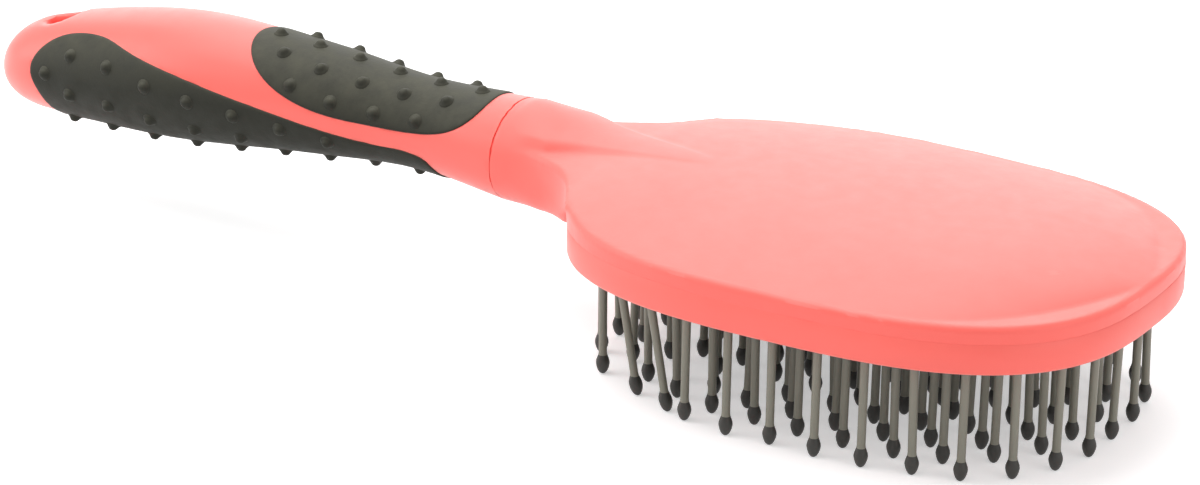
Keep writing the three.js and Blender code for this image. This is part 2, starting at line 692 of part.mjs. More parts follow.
function handleCore(grips) {
  const socket = tang(GAP).translate([-SEAM_X, 0, 0]);
  const hollows = [socket, hangHole(), ...grips.map(recess)];
  return hollows.reduce((body, hollow) => body.subtract(hollow), handleBody(0));
}

// Assembly: the head about its own middle, the handle hung from the seam, the whole stood on its pin tips
const head = new THREE.Group();
const pods = pinPods();
head.add(part("back_shell", backShell(), coral));
head.add(part("cushion_frame", cushionFrame(), coral));
head.add(part("pin_pad", pinPad(pods), padGrey));
for (const [name, spots] of pods) {
  const middle = spots.reduce((sum, spot) => sum.add(spot), new THREE.Vector2()).divideScalar(spots.length);
  const around = spots.map((spot) => spot.clone().sub(middle));
  const pod = part(name, pinPod(around), pinGrey);
  pod.position.set(middle.x, middle.y, 0);
  head.add(pod);
}

const handle = new THREE.Group();
const gripOnTop = topGrip();
const gripBelow = lowerGrip();
handle.add(part("handle_core", handleCore([gripOnTop, gripBelow]), coral));
handle.add(part("top_grip", gripBody(gripOnTop), gripGrey));
handle.add(part("lower_grip", gripBody(gripBelow), gripGrey));
handle.position.x = SEAM_X;

const group = new THREE.Group();
group.add(head, handle);
group.position.set((HANDLE_LENGTH + NECK_LENGTH) / 2, 0, PIN_REACH);

export default group;
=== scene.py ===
"""Looks of a horse grooming brush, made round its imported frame.

Shapes are worked out in millimetres in the head's frame: X from the head's middle towards its far end,
Y across the head, Z up from the rim's lower edge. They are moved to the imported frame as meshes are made.
"""

import math
import random

import bmesh
import bpy
import numpy as np
from mathutils import Matrix, Vector
from mathutils.geometry import delaunay_2d_cdt


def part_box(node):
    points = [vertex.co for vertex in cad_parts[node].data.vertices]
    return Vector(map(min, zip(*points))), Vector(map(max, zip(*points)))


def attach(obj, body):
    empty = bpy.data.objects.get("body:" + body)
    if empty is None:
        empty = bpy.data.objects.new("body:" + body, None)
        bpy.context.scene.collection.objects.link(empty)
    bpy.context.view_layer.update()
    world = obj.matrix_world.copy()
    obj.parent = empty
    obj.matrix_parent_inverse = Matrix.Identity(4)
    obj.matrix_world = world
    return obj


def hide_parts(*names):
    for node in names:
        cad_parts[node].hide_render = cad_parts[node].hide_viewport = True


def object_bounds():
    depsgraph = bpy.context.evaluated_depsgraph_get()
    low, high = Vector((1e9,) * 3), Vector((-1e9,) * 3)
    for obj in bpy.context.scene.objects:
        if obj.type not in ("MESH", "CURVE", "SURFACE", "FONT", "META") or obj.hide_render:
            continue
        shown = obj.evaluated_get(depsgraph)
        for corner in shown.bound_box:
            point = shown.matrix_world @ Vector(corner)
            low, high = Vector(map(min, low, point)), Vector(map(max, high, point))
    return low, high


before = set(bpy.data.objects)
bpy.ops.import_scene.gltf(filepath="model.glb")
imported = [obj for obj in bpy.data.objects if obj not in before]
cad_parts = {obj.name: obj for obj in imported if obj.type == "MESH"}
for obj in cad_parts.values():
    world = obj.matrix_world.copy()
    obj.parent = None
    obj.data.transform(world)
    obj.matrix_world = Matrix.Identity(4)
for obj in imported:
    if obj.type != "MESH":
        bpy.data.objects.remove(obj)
CAD_BOX = [list(corner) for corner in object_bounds()]

# Places and sizes read from the frame
MM = 0.001


def box_mm(node):
    """Corners of a node's box, in millimetres."""
    low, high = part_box(node)
    return np.array(low) / MM, np.array(high) / MM


RIM_LOW, RIM_HIGH = box_mm("cushion_frame")
HANDLE_LOW, HANDLE_HIGH = box_mm("handle_core")
PAD_LOW, PAD_HIGH = box_mm("pin_pad")
ORIGIN = np.array([(RIM_LOW[0] + RIM_HIGH[0]) / 2, 0, RIM_LOW[2]])
HEAD_LENGTH = RIM_HIGH[0] - RIM_LOW[0]
HEAD_WIDTH = RIM_HIGH[1] - RIM_LOW[1]
FRAME_HEIGHT = RIM_HIGH[2] - RIM_LOW[2]
HANDLE_FRONT = HANDLE_HIGH[0] - ORIGIN[0]
HANDLE_END = HANDLE_LOW[0] - ORIGIN[0]
PAD_FLOOR = PAD_LOW[2] - ORIGIN[2]
PAD_TOP = PAD_HIGH[2] - ORIGIN[2]
PAD_INSET = (HEAD_LENGTH - (PAD_HIGH[0] - PAD_LOW[0])) / 2

# Head: fullness of its plan, clearance at the parting line, rounded edge, dome and the hollow under it
FAR_END_FULLNESS = 2.9
NECK_END_FULLNESS = 2.6
SIDE_FULLNESS = 2.75
FAR_END_NARROWING = 0.033
GAP = 0.3
SHELL_FLOOR = FRAME_HEIGHT + GAP
EDGE_HEIGHT = SHELL_FLOOR + 2.75
EDGE_RADIUS = 1.1
DOME_RISE = 3.8
DOME_FULLNESS = 2.3
NECK_END_RISE = 2.5
NECK_END_RISE_FROM = 20
NECK_END_RISE_LENGTH = 38
CHAMBER_INSET = 3.6
CHAMBER_CEILING = 6.5
PARTING_CHAMFER = 0.05
PARTING_LAP = 0.4
PARTING_STEP = 0.06
FRAME_WALL = 2.0
FRAME_LEDGE_REACH = 3.8
FRAME_LEDGE_HEIGHT = 1.0

# Rounding of the rim's lower edge: inset from the plan, height
RIM_ROUNDING = [(0, 0.7), (0.12, 0.3), (0.35, 0.08), (0.7, 0)]

# Neck: the round bar from the seam, the ridge that it becomes on the back, and the shelf beside the ridge
SEAM_X = HANDLE_FRONT + GAP
SEAM_GAP = 0.24
SEAM_DEPTH = 0.4
SEAM_COLLAR_LENGTH = 1.2
SEAM_COLLAR_WALL = 1
SEAM_COLLAR_SIDES = 96
SEAM_AXIS = 6.4
SEAM_HALF_HEIGHT = 9.6
WIDTH_RATIO = 1.13
NECK_LENGTH = -HEAD_LENGTH / 2 - SEAM_X
NECK_FLOOR_RISE = 3.6
NECK_FLOOR_RISE_LIMIT = 7
NECK_SWELL = 0.9
NECK_SWELL_LENGTH = 7
NECK_BLEND = 0.8
NECK_KEEL_BLEND = 3
NECK_KEEL_BLEND_LEVELS = (4, 9)
RIDGE_CROWN_RADII = (11, 36)
RIDGE_CROWN_FROM_SEAM = (3, 20)
RIDGE_FLANK_LEAN = math.radians(28)
RIDGE_EDGE_RADIUS = 0.9
SHELF_FROM_SEAM = 1
SHELF_LENGTH = 25.8
SHELF_HALF_WIDTH = 8.7
SHELF_TAPER_WIDTH = 7.2
SHELF_FLARE_WIDTH = 11.6
SHELF_FLARE_FULLNESS = 4.5
SHELF_EDGE_FALL = 0.5
SHELF_CROWN_FALL = 1.7
SHELF_CROWN_EASE = 0.15
SHELF_RUN_OUT = 7
SHELF_HANDOVER = 4.5
SHELF_KEEL = -0.4
SHELF_KEEL_DROP = 1.5
SHELF_KEEL_DROP_SHARE = 0.35
SHELF_KEEL_RISE = 8
SHELF_KEEL_RISE_SHARES = (0.62, 0.97)
SHELF_KEEL_SLOPE = 0.8
SHELF_KEEL_RADIUS = 3
SHELF_FILLET = 0.4
SHELF_FILLET_REACH = 1.2
SHELF_END = SEAM_X + SHELF_FROM_SEAM + SHELF_LENGTH

# Ridge: distance from the seam, height of its crest, half width at its edges
RIDGE = np.array(
    [
        (0, 16.4, 13),
        (5, 15.95, 10.6),
        (8, 15.3, 10.4),
        (12.5, 14.15, 8.6),
        (16, 13.48, 7.4),
        (20, 13.02, 6.3),
        (25, 12.74, 5.1),
        (32, 12.47, 3.8),
        (38.5, 12.15, 2.5),
        (44, 11.4, 1.6),
    ]
)

# Handle: distance from the seam, height of the axis and half height before the end closes
HANDLE_STATIONS = np.array(
    [
        (0, SEAM_AXIS, SEAM_HALF_HEIGHT),
        (21, 7.2, 8.3),
        (44, 7.35, 10.1),
        (79, 6, 12.3),
        (98, 4.15, 11),
        (121.3, 0.85, 8.2),
    ]
)
CAP_LENGTH = 23.3
CAP_FULLNESS = 5
HANG_HOLE_FROM_END = 13.6
HANG_HOLE_RADIUS = 3.3
HANG_HOLE_LIP = 2.4

# Grips: where they lie, height above the handle, and the dip in the handle under them
GRIP_PROUD = 0.3
GRIP_DIP = 1.2
GRIP_DIP_START = 0.1
GRIP_DIP_WIDTH = 1.4
TOP_GRIP_FROM_SEAM = 5
TOP_GRIP_LENGTH = 54
TOP_GRIP_WRAP = math.radians(84)
TOP_GRIP_FULLNESS = (3, 2)
LOWER_GRIP_FROM_SEAM = 13.5
LOWER_GRIP_LENGTH = 94.5
LOWER_GRIP_MIDDLE_SHARE = 0.6

# Half of the lower grip's outline: share of its length, angle from its middle in degrees
LOWER_GRIP_OUTLINE = [
    (0, 0),
    (0.018, 58),
    (0.066, 71),
    (0.177, 71.5),
    (0.4, 91.5),
    (0.685, 118),
    (0.822, 137.5),
    (0.917, 139),
    (0.976, 124),
    (1, 98),
    (0.975, 60),
    (0.96, 0),
]

# Nubs: rows as share of the grip's wrap, shift in pitches and least wrap in degrees, and their turned shape
NUB_EDGE_DISTANCE = 3.8
NUB_MARGIN = 1.5
LOWER_END_NUB_DISTANCE = 4.4
LOWER_END_NUB_TURN = math.radians(95)
TOP_NUB_PITCH = 9.2
TOP_NUB_ROWS = [(0, 0, 0), (0.42, 0.5, 0), (0.81, 0, 0)]
LOWER_NUB_PITCH = 10
LOWER_NUB_ROWS = [(0.22, 0.38, 0), (0.53, 0, 95), (0.82, 0, 75)]
NUB_PROFILE = [
    (1.52, -0.14),
    (1.44, 0.03),
    (1.2, 0.2),
    (0.98, 0.46),
    (0.78, 0.74),
    (0.56, 0.94),
    (0.28, 1.04),
    (0, 1.06),
]

# Pins: shank, egg-shaped tip, the few near the neck that are bent, their plates and the pad's collars
SHANK_RADIUS = 0.75
ROOT_SWELL = 1.04
ROOT_LEVEL = -1
ROOT_DEPTH = 0.2
TIP_LENGTH = 4.1
TIP_PROFILE = [
    (0, 0),
    (0.36, 0.05),
    (0.66, 0.3),
    (0.93, 0.75),
    (1.14, 1.35),
    (1.25, 2),
    (1.19, 2.55),
    (1.0, 3.1),
    (0.82, 3.6),
]
PIN_SIDES = 14
PIN_END_RANGE = 0.2
PIN_END_WIDTH = 2
PIN_SEED = 7
PIN_WANDER = 0.022
BENT_PIN_LEAN = (0.13, 0.2)
BENT_PIN_RANGE = (-40.5, -18)
OUTER_RING_DEPTH = 7
PLATE_FLOOR = 2.7
PLATE_TOP = 3.7
PLATE_MARGIN = 1.3
PLATE_CORNER_SIDES = 10
COLLAR_PROFILE = [(2.1, 0), (1.95, -0.35), (1.6, -0.75), (1.25, -0.85), (1.05, -0.75)]

# Camera fitted to the photograph: angles in degrees, lengths in millimetres, target in the head's frame
CAMERA_AZIMUTH = 32.04
CAMERA_ELEVATION = 21.88
CAMERA_ROLL = 0.55
CAMERA_TARGET = (-56.75, 0, -8.4)
CAMERA_DISTANCE = 734.6
CAMERA_LENS = 120
CAMERA_SENSOR = 36
CAMERA_CLIP = 10

random.seed(PIN_SEED)


# Distance fields, below zero inside
def join(a, b, blend):
    """Union of two fields with a fillet."""
    near = np.maximum(blend - np.abs(a - b), 0) / blend
    return np.minimum(a, b) - near * near * blend / 4


def deep_join(a, b, fillet, reach):
    """Union of two fields that is deep wherever both are, with a small fillet where their edges cross."""
    return a + b - np.hypot(a, b) - fillet / (1 + (a * a + b * b) / reach**2)


def cut(a, b, blend):
    """The first field without the second, with a rounded lip."""
    return -join(-a, b, blend)


def rounded_edge(a, b, radius):
    """What is inside both fields, with the edge between them rounded."""
    corner = np.hypot(np.maximum(a + radius, 0), np.maximum(b + radius, 0))
    return np.minimum(np.maximum(a, b), -radius) + corner


def smoothstep(low, high, value):
    """Share of the way from low to high, eased at both ends."""
    share = np.clip((value - low) / (high - low), 0, 1)
    return share * share * (3 - 2 * share)


def spline(stations, column, x):
    """Smooth curve through a column of stations, and on past its ends in a straight line."""
    places, values = stations[:, 0], stations[:, column]
    slopes = np.gradient(values, places)
    i = np.clip(np.searchsorted(places, x) - 1, 0, len(places) - 2)
    width = places[i + 1] - places[i]
    t = np.clip((x - places[i]) / width, 0, 1)
    rest = x - np.clip(x, places[0], places[-1])
    end_slope = np.where(rest > 0, slopes[-1], slopes[0])
    start = (1 + 2 * t) * (1 - t) ** 2 * values[i] + t * (1 - t) ** 2 * width * slopes[i]
    end = t * t * (3 - 2 * t) * values[i + 1] - t * t * (1 - t) * width * slopes[i + 1]
    return start + end + rest * end_slope


CELL_CORNERS = np.array([(i, j, k) for i in (0, 1) for j in (0, 1) for k in (0, 1)])
CELL_EDGES = [
    (a, b) for a in range(8) for b in range(a, 8) if np.abs(CELL_CORNERS[a] - CELL_CORNERS[b]).sum() == 1
]
FACE_AXES = [(0, 1), (0, 2), (1, 2)]
PINCH_PASSES = 2
PULL_TO_MIDDLE = 0.04
GRADIENT_STEP = 0.02
LEAST_SLOPE = 0.02
LEAST_LENGTH = 1e-9
LEAST_HALF_WIDTH = 0.1


def normals_of(field, points):
    """Outward directions of a field at points."""
    here = field(*points.T)
    shifts = np.eye(3) * GRADIENT_STEP
    slope = np.stack([field(*(points + shift).T) - here for shift in shifts], axis=1)
    return slope / np.maximum(np.linalg.norm(slope, axis=1), LEAST_LENGTH)[:, None]


def without_pinches(values):
    """Grid values with one sign turned on each cell face that is inside at two opposite corners alone."""
    values = values.copy()
    steps = np.eye(3, dtype=int)
    for first, second in FACE_AXES * PINCH_PASSES:
        ways = [(0, 0, 0), steps[first], steps[first] + steps[second], steps[second]]
        size = np.array(values.shape) - ways[2]
        inside = [values[tuple(slice(a, a + b) for a, b in zip(way, size))] < 0 for way in ways]
        pinched = (inside[0] == inside[2]) & (inside[1] == inside[3]) & (inside[0] != inside[1])
        for place in np.argwhere(pinched):
            nearest = min((tuple(place + way) for way in ways), key=lambda corner: abs(values[corner]))
            values[nearest] *= -1
    return values


def cell_points(field, values, cells, low, step):
    """A point in each cell, where the tangent planes at its crossed edges meet."""
    at_corners = np.stack([values[tuple((cells + corner).T)] for corner in CELL_CORNERS], axis=1)
    cell_low = np.array(low) + cells * step
    planes = np.zeros((len(cells), 3, 3))
    offsets = np.zeros((len(cells), 3))
    middle = np.zeros((len(cells), 3))
    hits = np.zeros(len(cells))
    for a, b in CELL_EDGES:
        hit = (at_corners[:, a] < 0) != (at_corners[:, b] < 0)
        share = at_corners[hit, a] / (at_corners[hit, a] - at_corners[hit, b])
        way = CELL_CORNERS[b] - CELL_CORNERS[a]
        point = cell_low[hit] + step * (CELL_CORNERS[a] + share[:, None] * way)
        normal = normals_of(field, point)
        planes[hit] += normal[:, :, None] * normal[:, None, :]
        offsets[hit] += normal * (normal * point).sum(1)[:, None]
        middle[hit] += point
        hits[hit] += 1
    middle /= hits[:, None]
    planes += PULL_TO_MIDDLE * np.eye(3)
    offsets += PULL_TO_MIDDLE * middle
    points = np.linalg.solve(planes, offsets[:, :, None])[:, :, 0]
    return np.clip(points, cell_low, cell_low + step)


def cell_quads(inside, number):
    """A quad round each grid edge that the surface crosses, from the numbers of the four cells about it."""
    steps = np.eye(3, dtype=int)
    quads = []
    for axis, count in enumerate(number.shape):
        across, beyond = steps[(axis + 1) % 3], steps[(axis + 2) % 3]
        lower = np.take(inside, range(count), axis=axis)
        upper = np.take(inside, range(1, count + 1), axis=axis)
        edges = np.argwhere(lower != upper)
        ring = [edges - across - beyond, edges - beyond, edges, edges - across]
        quad = np.stack([number[tuple(cell.T)] for cell in ring], axis=1)
        leaves = lower[tuple(edges.T)]
        quads.append(np.where(leaves[:, None], quad, quad[:, ::-1]))
    return np.concatenate(quads)


def contour(field, low, high, step):
    """Points and quads on a field's zero level, from a grid of cells."""
    axes = [np.arange(start, stop + step, step) for start, stop in zip(low, high)]
    values = without_pinches(field(*np.meshgrid(*axes, indexing="ij")))
    inside = values < 0
    shape = np.array(inside.shape) - 1
    corners = [inside[i : i + shape[0], j : j + shape[1], k : k + shape[2]] for i, j, k in CELL_CORNERS]
    cells = np.argwhere(np.any(corners, axis=0) & ~np.all(corners, axis=0))
    number = np.full(shape, -1)
    number[tuple(cells.T)] = np.arange(len(cells))
    return cell_points(field, values, cells, low, step), cell_quads(inside, number)


# Mesh pieces
def piece(name, points, faces, materials, body, nodes, sharp_degrees=40, face_materials=None):
    """A piece of the object from points in the head's frame, riding on a body in place of its nodes."""
    mesh = bpy.data.meshes.new(name)
    mesh.from_pydata(((np.asarray(points) + ORIGIN) * MM).tolist(), [], [list(face) for face in faces])
    for material in materials:
        mesh.materials.append(material)
    if face_materials is not None:
        mesh.polygons.foreach_set("material_index", face_materials)
    mesh.shade_smooth()
    mesh.set_sharp_from_angle(angle=math.radians(sharp_degrees))
    mesh.validate()
    made = bpy.data.objects.new(name, mesh)
    bpy.context.scene.collection.objects.link(made)
    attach(made, body)
    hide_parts(*nodes)
    return made


class Parts:
    """Points and faces gathered from several simple bodies, with a material number for each face."""

    def __init__(self):
        self.points = []
        self.faces = []
        self.materials = []

    def add(self, points, faces, materials=None):
        """Adds a body, all in the first material where no numbers are given."""
        start = len(self.points)
        self.points.extend(tuple(point) for point in points)
        self.faces.extend(tuple(start + corner for corner in face) for face in faces)
        self.materials.extend(materials or [0] * len(faces))


def ring_faces(rings, count, closed=False):
    """Quads between rings of one count, outwards when each ring turns left about the way they follow."""
    pairs = [(row, (row + 1) % rings) for row in range(rings if closed else rings - 1)]
    return [
        (a * count + j, a * count + (j + 1) % count, b * count + (j + 1) % count, b * count + j)
        for a, b in pairs
        for j in range(count)
    ]


def unit_circle(sides):
    """Cosines and sines of even turns."""
    turns = np.linspace(0, 2 * math.pi, sides, endpoint=False)
    return np.stack([np.cos(turns), np.sin(turns)], axis=1)


# Head
def plan_level(x, y):
    """Level of the head's plan: 1 on its edge, less inside."""
    u = x / (HEAD_LENGTH / 2)
    fullness = np.where(u > 0, FAR_END_FULLNESS, NECK_END_FULLNESS)
    v = y / (HEAD_WIDTH / 2 * (1 - FAR_END_NARROWING * u))
    return np.abs(u) ** fullness + np.abs(v) ** SIDE_FULLNESS


def plan_distance(x, y):
    """Distance outside the head's plan, true near its edge."""
    here = plan_level(x, y)
    along = plan_level(x + GRADIENT_STEP, y) - here
    across = plan_level(x, y + GRADIENT_STEP) - here
    return (here - 1) / np.maximum(np.hypot(along, across) / GRADIENT_STEP, LEAST_SLOPE)


def plan_ring(inset, height, steps):
    """Points round the head's plan, drawn in by an inset, at a height."""
    along, across = unit_circle(steps).T
    fullness = np.where(along > 0, FAR_END_FULLNESS, NECK_END_FULLNESS)
    u = np.sign(along) * np.abs(along) ** (2 / fullness)
    v = np.sign(across) * np.abs(across) ** (2 / SIDE_FULLNESS)
    x = (HEAD_LENGTH / 2 - inset) * u
    y = (HEAD_WIDTH / 2 - inset) * v * (1 - FAR_END_NARROWING * u)
    return np.stack([x, y, np.full(steps, height)], axis=1)


def plan_half_width(x):
    """Half width of the head's plan at a place along X."""
    u = np.clip(x / (HEAD_LENGTH / 2), -1, 1)
    fullness = np.where(u > 0, FAR_END_FULLNESS, NECK_END_FULLNESS)
    across_share = (1 - np.abs(u) ** fullness) ** (1 / SIDE_FULLNESS)
    return HEAD_WIDTH / 2 * across_share * (1 - FAR_END_NARROWING * u)


def shelf_share(x):
    """How far along the shelf X lies, from 0 at its start to 1 at the head."""
    return np.clip((x - SEAM_X - SHELF_FROM_SEAM) / SHELF_LENGTH, 0, 1)


def shelf_half_width(x):
    """Half width of the shelf, which widens from the seam and flares into the head."""
    share = shelf_share(x)
    return SHELF_HALF_WIDTH + SHELF_TAPER_WIDTH * share + SHELF_FLARE_WIDTH * share**SHELF_FLARE_FULLNESS


def back_height(x, y):
    """Top of the back and of the shelf behind it: domed across, down to an edge that rises to the neck."""
    neck_width, head_width = shelf_half_width(x), plan_half_width(x)
    is_head = smoothstep(SHELF_END - SHELF_HANDOVER, SHELF_END, x)
    half_width = neck_width + is_head * (head_width - neck_width) - EDGE_RADIUS
    across = np.minimum(np.abs(y) / np.maximum(half_width, LEAST_HALF_WIDTH), 1)
    along = np.clip(x / (HEAD_LENGTH / 2 - EDGE_RADIUS), 0, 1)
    fall = np.minimum(across**DOME_FULLNESS + along ** (2 * DOME_FULLNESS), 1)
    rise = np.clip((-NECK_END_RISE_FROM - x) / NECK_END_RISE_LENGTH, 0, 1)
    edge = EDGE_HEIGHT + NECK_END_RISE * rise**4 * (5 - 4 * rise) - SHELF_EDGE_FALL * (1 - shelf_share(x))
    sink = np.clip((SHELF_END + SHELF_RUN_OUT - x) / (SHELF_LENGTH + SHELF_RUN_OUT), 0, 1)
    crown = EDGE_HEIGHT + DOME_RISE - SHELF_CROWN_FALL * sink**2 / (sink + SHELF_CROWN_EASE)
    return edge + (crown - edge) * (1 - fall)


def neck_bar(x, y, z):
    """Round bar from the seam, swelling a little, its floor rising as it nears the head."""
    distance = x - SEAM_X
    swell = NECK_SWELL * smoothstep(0, NECK_SWELL_LENGTH, distance)
    rise = np.minimum(NECK_FLOOR_RISE * np.maximum(distance / NECK_LENGTH, 0) ** 3, NECK_FLOOR_RISE_LIMIT)
    top = SEAM_AXIS + SEAM_HALF_HEIGHT + swell
    floor = SEAM_AXIS - SEAM_HALF_HEIGHT + rise
    half_width, half_height = SEAM_HALF_HEIGHT * WIDTH_RATIO, (top - floor) / 2
    reach = np.hypot(y / half_width, (z - (top + floor) / 2) / half_height)
    return np.maximum((reach - 1) * half_height, distance - RIDGE[-1, 0])


def ridge(x, y, z):
    """Crowned top between leaning flanks, sinking into the domed back."""
    crest = spline(RIDGE, 1, x - SEAM_X)
    half_width = spline(RIDGE, 2, x - SEAM_X)
    near, far = RIDGE_CROWN_RADII
    crown_radius = near + (far - near) * smoothstep(*RIDGE_CROWN_FROM_SEAM, x - SEAM_X)
    roof = z - crest + y * y / (2 * crown_radius)
    roof = roof / np.sqrt(1 + (y / crown_radius) ** 2)
    edge = crest - half_width**2 / (2 * crown_radius)
    flank = np.abs(y) - half_width - math.tan(RIDGE_FLANK_LEAN) * (edge - z)
    return rounded_edge(roof, flank * math.cos(RIDGE_FLANK_LEAN), RIDGE_EDGE_RADIUS)


def shelf_side(x, y):
    """Distance outside the shelf's flared sides and its ends."""
    slope = (shelf_half_width(x + GRADIENT_STEP) - shelf_half_width(x)) / GRADIENT_STEP
    side = (np.abs(y) - shelf_half_width(x)) / np.sqrt(1 + slope * slope)
    return np.maximum(side, np.maximum(SEAM_X + SHELF_FROM_SEAM - x, x - SHELF_END))


def shell_field(x, y, z):
    """The head's back with its neck, hollow from below, with room for the frame."""
    plan = plan_distance(x, y) + PARTING_STEP
    side = shelf_side(x, y)
    drop = SHELF_KEEL_DROP * (1 - smoothstep(0, SHELF_KEEL_DROP_SHARE, shelf_share(x)))
    keel = SHELF_KEEL + drop + SHELF_KEEL_RISE * smoothstep(*SHELF_KEEL_RISE_SHARES, shelf_share(x))
    side = rounded_edge(side, (keel - z) * SHELF_KEEL_SLOPE, SHELF_KEEL_RADIUS)
    outline = deep_join(plan, side, SHELF_FILLET, SHELF_FILLET_REACH)
    back = rounded_edge(outline, z - back_height(x, y), EDGE_RADIUS)
    neck = np.maximum(neck_bar(x, y, z), ridge(x, y, z))
    blend = NECK_KEEL_BLEND + (NECK_BLEND - NECK_KEEL_BLEND) * smoothstep(*NECK_KEEL_BLEND_LEVELS, z)
    outside = np.maximum(join(back, neck, blend), HANDLE_FRONT + SEAM_GAP - x)
    frame_room = np.maximum(plan - PARTING_STEP / 2, z - FRAME_HEIGHT + PARTING_LAP)
    chamber = np.maximum(plan + CHAMBER_INSET, z - CHAMBER_CEILING)
    return np.maximum(np.maximum(outside, -frame_room), -chamber)


SHELL_STEP = 0.7
SHELL_GRID_LOW = (HANDLE_FRONT - 1.33, -HEAD_WIDTH / 2 - 1.21, -4.3)
SHELL_GRID_HIGH = (HEAD_LENGTH / 2 + 2, HEAD_WIDTH / 2 + 2, SEAM_AXIS + SEAM_HALF_HEIGHT + 2)


def seam_collar():
    """Rings round the collar that closes the floor of the seam's groove."""
    across, up = unit_circle(SEAM_COLLAR_SIDES).T
    rear = HANDLE_FRONT + SEAM_GAP / 2 - SEAM_COLLAR_LENGTH / 2
    front = rear + SEAM_COLLAR_LENGTH
    bore_depth = SEAM_DEPTH + SEAM_COLLAR_WALL
    rings = []
    for x, depth in [(rear, SEAM_DEPTH), (front, SEAM_DEPTH), (front, bore_depth), (rear, bore_depth)]:
        y = (SEAM_HALF_HEIGHT * WIDTH_RATIO - depth) * across
        z = SEAM_AXIS + (SEAM_HALF_HEIGHT - depth) * up
        rings.append(np.stack([np.full(SEAM_COLLAR_SIDES, x), y, z], axis=1))
    return rings


def head_shell():
    """The domed back with its neck, and the collar in the seam."""
    points, quads = contour(shell_field, SHELL_GRID_LOW, SHELL_GRID_HIGH, SHELL_STEP)
    collar = seam_collar()
    parts = Parts()
    parts.add(points, quads.tolist())
    parts.add(np.concatenate(collar), ring_faces(len(collar), SEAM_COLLAR_SIDES, closed=True))
    return piece(
        "head_shell",
        parts.points,
        parts.faces,
        [coral_satin()],
        "brush",
        ["back_shell"],
    )


FRAME_STEPS = 192


def head_frame():
    """The lower ring of the head, with a rounded rim and a ledge under the pad."""
    profile = [
        (FRAME_WALL, FRAME_HEIGHT),
        (PARTING_CHAMFER, FRAME_HEIGHT),
        (0, FRAME_HEIGHT - PARTING_CHAMFER),
        *RIM_ROUNDING,
        (FRAME_LEDGE_REACH, 0),
        (FRAME_LEDGE_REACH, FRAME_LEDGE_HEIGHT),
        (FRAME_WALL, FRAME_LEDGE_HEIGHT),
    ]
    points = np.concatenate([plan_ring(inset, height, FRAME_STEPS) for inset, height in profile])
    faces = [face[::-1] for face in ring_faces(len(profile), FRAME_STEPS, closed=True)]
    return piece(
        "head_frame",
        points,
        faces,
        [coral_satin()],
        "brush",
        ["cushion_frame"],
        sharp_degrees=50,
    )


# Pins and their rubber pad
def pin_feet(node):
    """Places of a pod's pins, from the lowest corners of its solid."""
    corners = np.array([vertex.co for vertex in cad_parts[node].data.vertices]) / MM - ORIGIN
    lowest = corners[corners[:, 2] < corners[:, 2].min() + PIN_END_RANGE][:, :2]
    feet = []
    while len(lowest):
        near = np.linalg.norm(lowest - lowest[0], axis=1) < PIN_END_WIDTH
        feet.append(lowest[near].mean(0))
        lowest = lowest[~near]
    return feet


def turned(profile, sides):
    """Rings of points about Z from [radius, height] pairs."""
    circle = unit_circle(sides)
    rings = [np.column_stack([circle * radius, np.full(sides, height)]) for radius, height in profile]
    return np.concatenate(rings)


def turned_body(profile, sides):
    """Closed body about Z from [radius, height] pairs that go up, its ends flat, or pointed at radius 0."""
    rings = [pair for pair in profile if pair[0] > 0]
    points = turned(rings, sides).tolist()

    def end(radius, height, ring):
        if radius > 0:
            return [ring]
        points.append((0, 0, height))
        return [(a, b, len(points) - 1) for a, b in zip(ring, ring[1:] + ring[:1])]

    lowest = tuple(range(sides))[::-1]
    highest = tuple(range(len(points) - sides, len(points)))
    faces = end(*profile[0], lowest) + ring_faces(len(rings), sides) + end(*profile[-1], highest)
    return np.array(points), faces


def add_pin(parts, foot, reach):
    """A pin from its plate down to its tip: its shank may wander, or lean where it is bent."""
    tip = [(radius, height - reach) for radius, height in TIP_PROFILE]
    shank = [(SHANK_RADIUS, -reach + TIP_LENGTH), (SHANK_RADIUS, -reach / 2)]
    root_radius = SHANK_RADIUS * ROOT_SWELL
    root = [(root_radius, ROOT_LEVEL), (root_radius, PLATE_FLOOR + ROOT_DEPTH)]
    points, faces = turned_body(tip + shank + root, PIN_SIDES)
    is_outer = plan_distance(*foot) > -OUTER_RING_DEPTH
    is_bent = is_outer and foot[1] < 0 and BENT_PIN_RANGE[0] < foot[0] < BENT_PIN_RANGE[1]
    lean = random.uniform(*BENT_PIN_LEAN) if is_bent else 0
    way = (random.uniform(-PIN_WANDER, PIN_WANDER) + lean, random.uniform(-PIN_WANDER, PIN_WANDER))
    hang = np.maximum(0, ROOT_LEVEL - points[:, 2])
    points[:, 0] += foot[0] + way[0] * hang
    points[:, 1] += foot[1] + way[1] * hang
    tip_faces = (len(tip) - 1) * PIN_SIDES
    parts.add(points, faces, [1] * tip_faces + [0] * (len(faces) - tip_faces))


def add_plate(parts, feet):
    """A thin plate behind the pad round a pod's pins."""
    builder = bmesh.new()
    for foot in feet:
        for x, y, z in turned([(PLATE_MARGIN, PLATE_FLOOR), (PLATE_MARGIN, PLATE_TOP)], PLATE_CORNER_SIDES):
            builder.verts.new((x + foot[0], y + foot[1], z))
    bmesh.ops.convex_hull(builder, input=builder.verts)
    loose = [vertex for vertex in builder.verts if not vertex.link_faces]
    bmesh.ops.delete(builder, geom=loose, context="VERTS")
    builder.verts.index_update()
    points = [tuple(vertex.co) for vertex in builder.verts]
    faces = [tuple(vertex.index for vertex in face.verts) for face in builder.faces]
    parts.add(points, faces)
    builder.free()


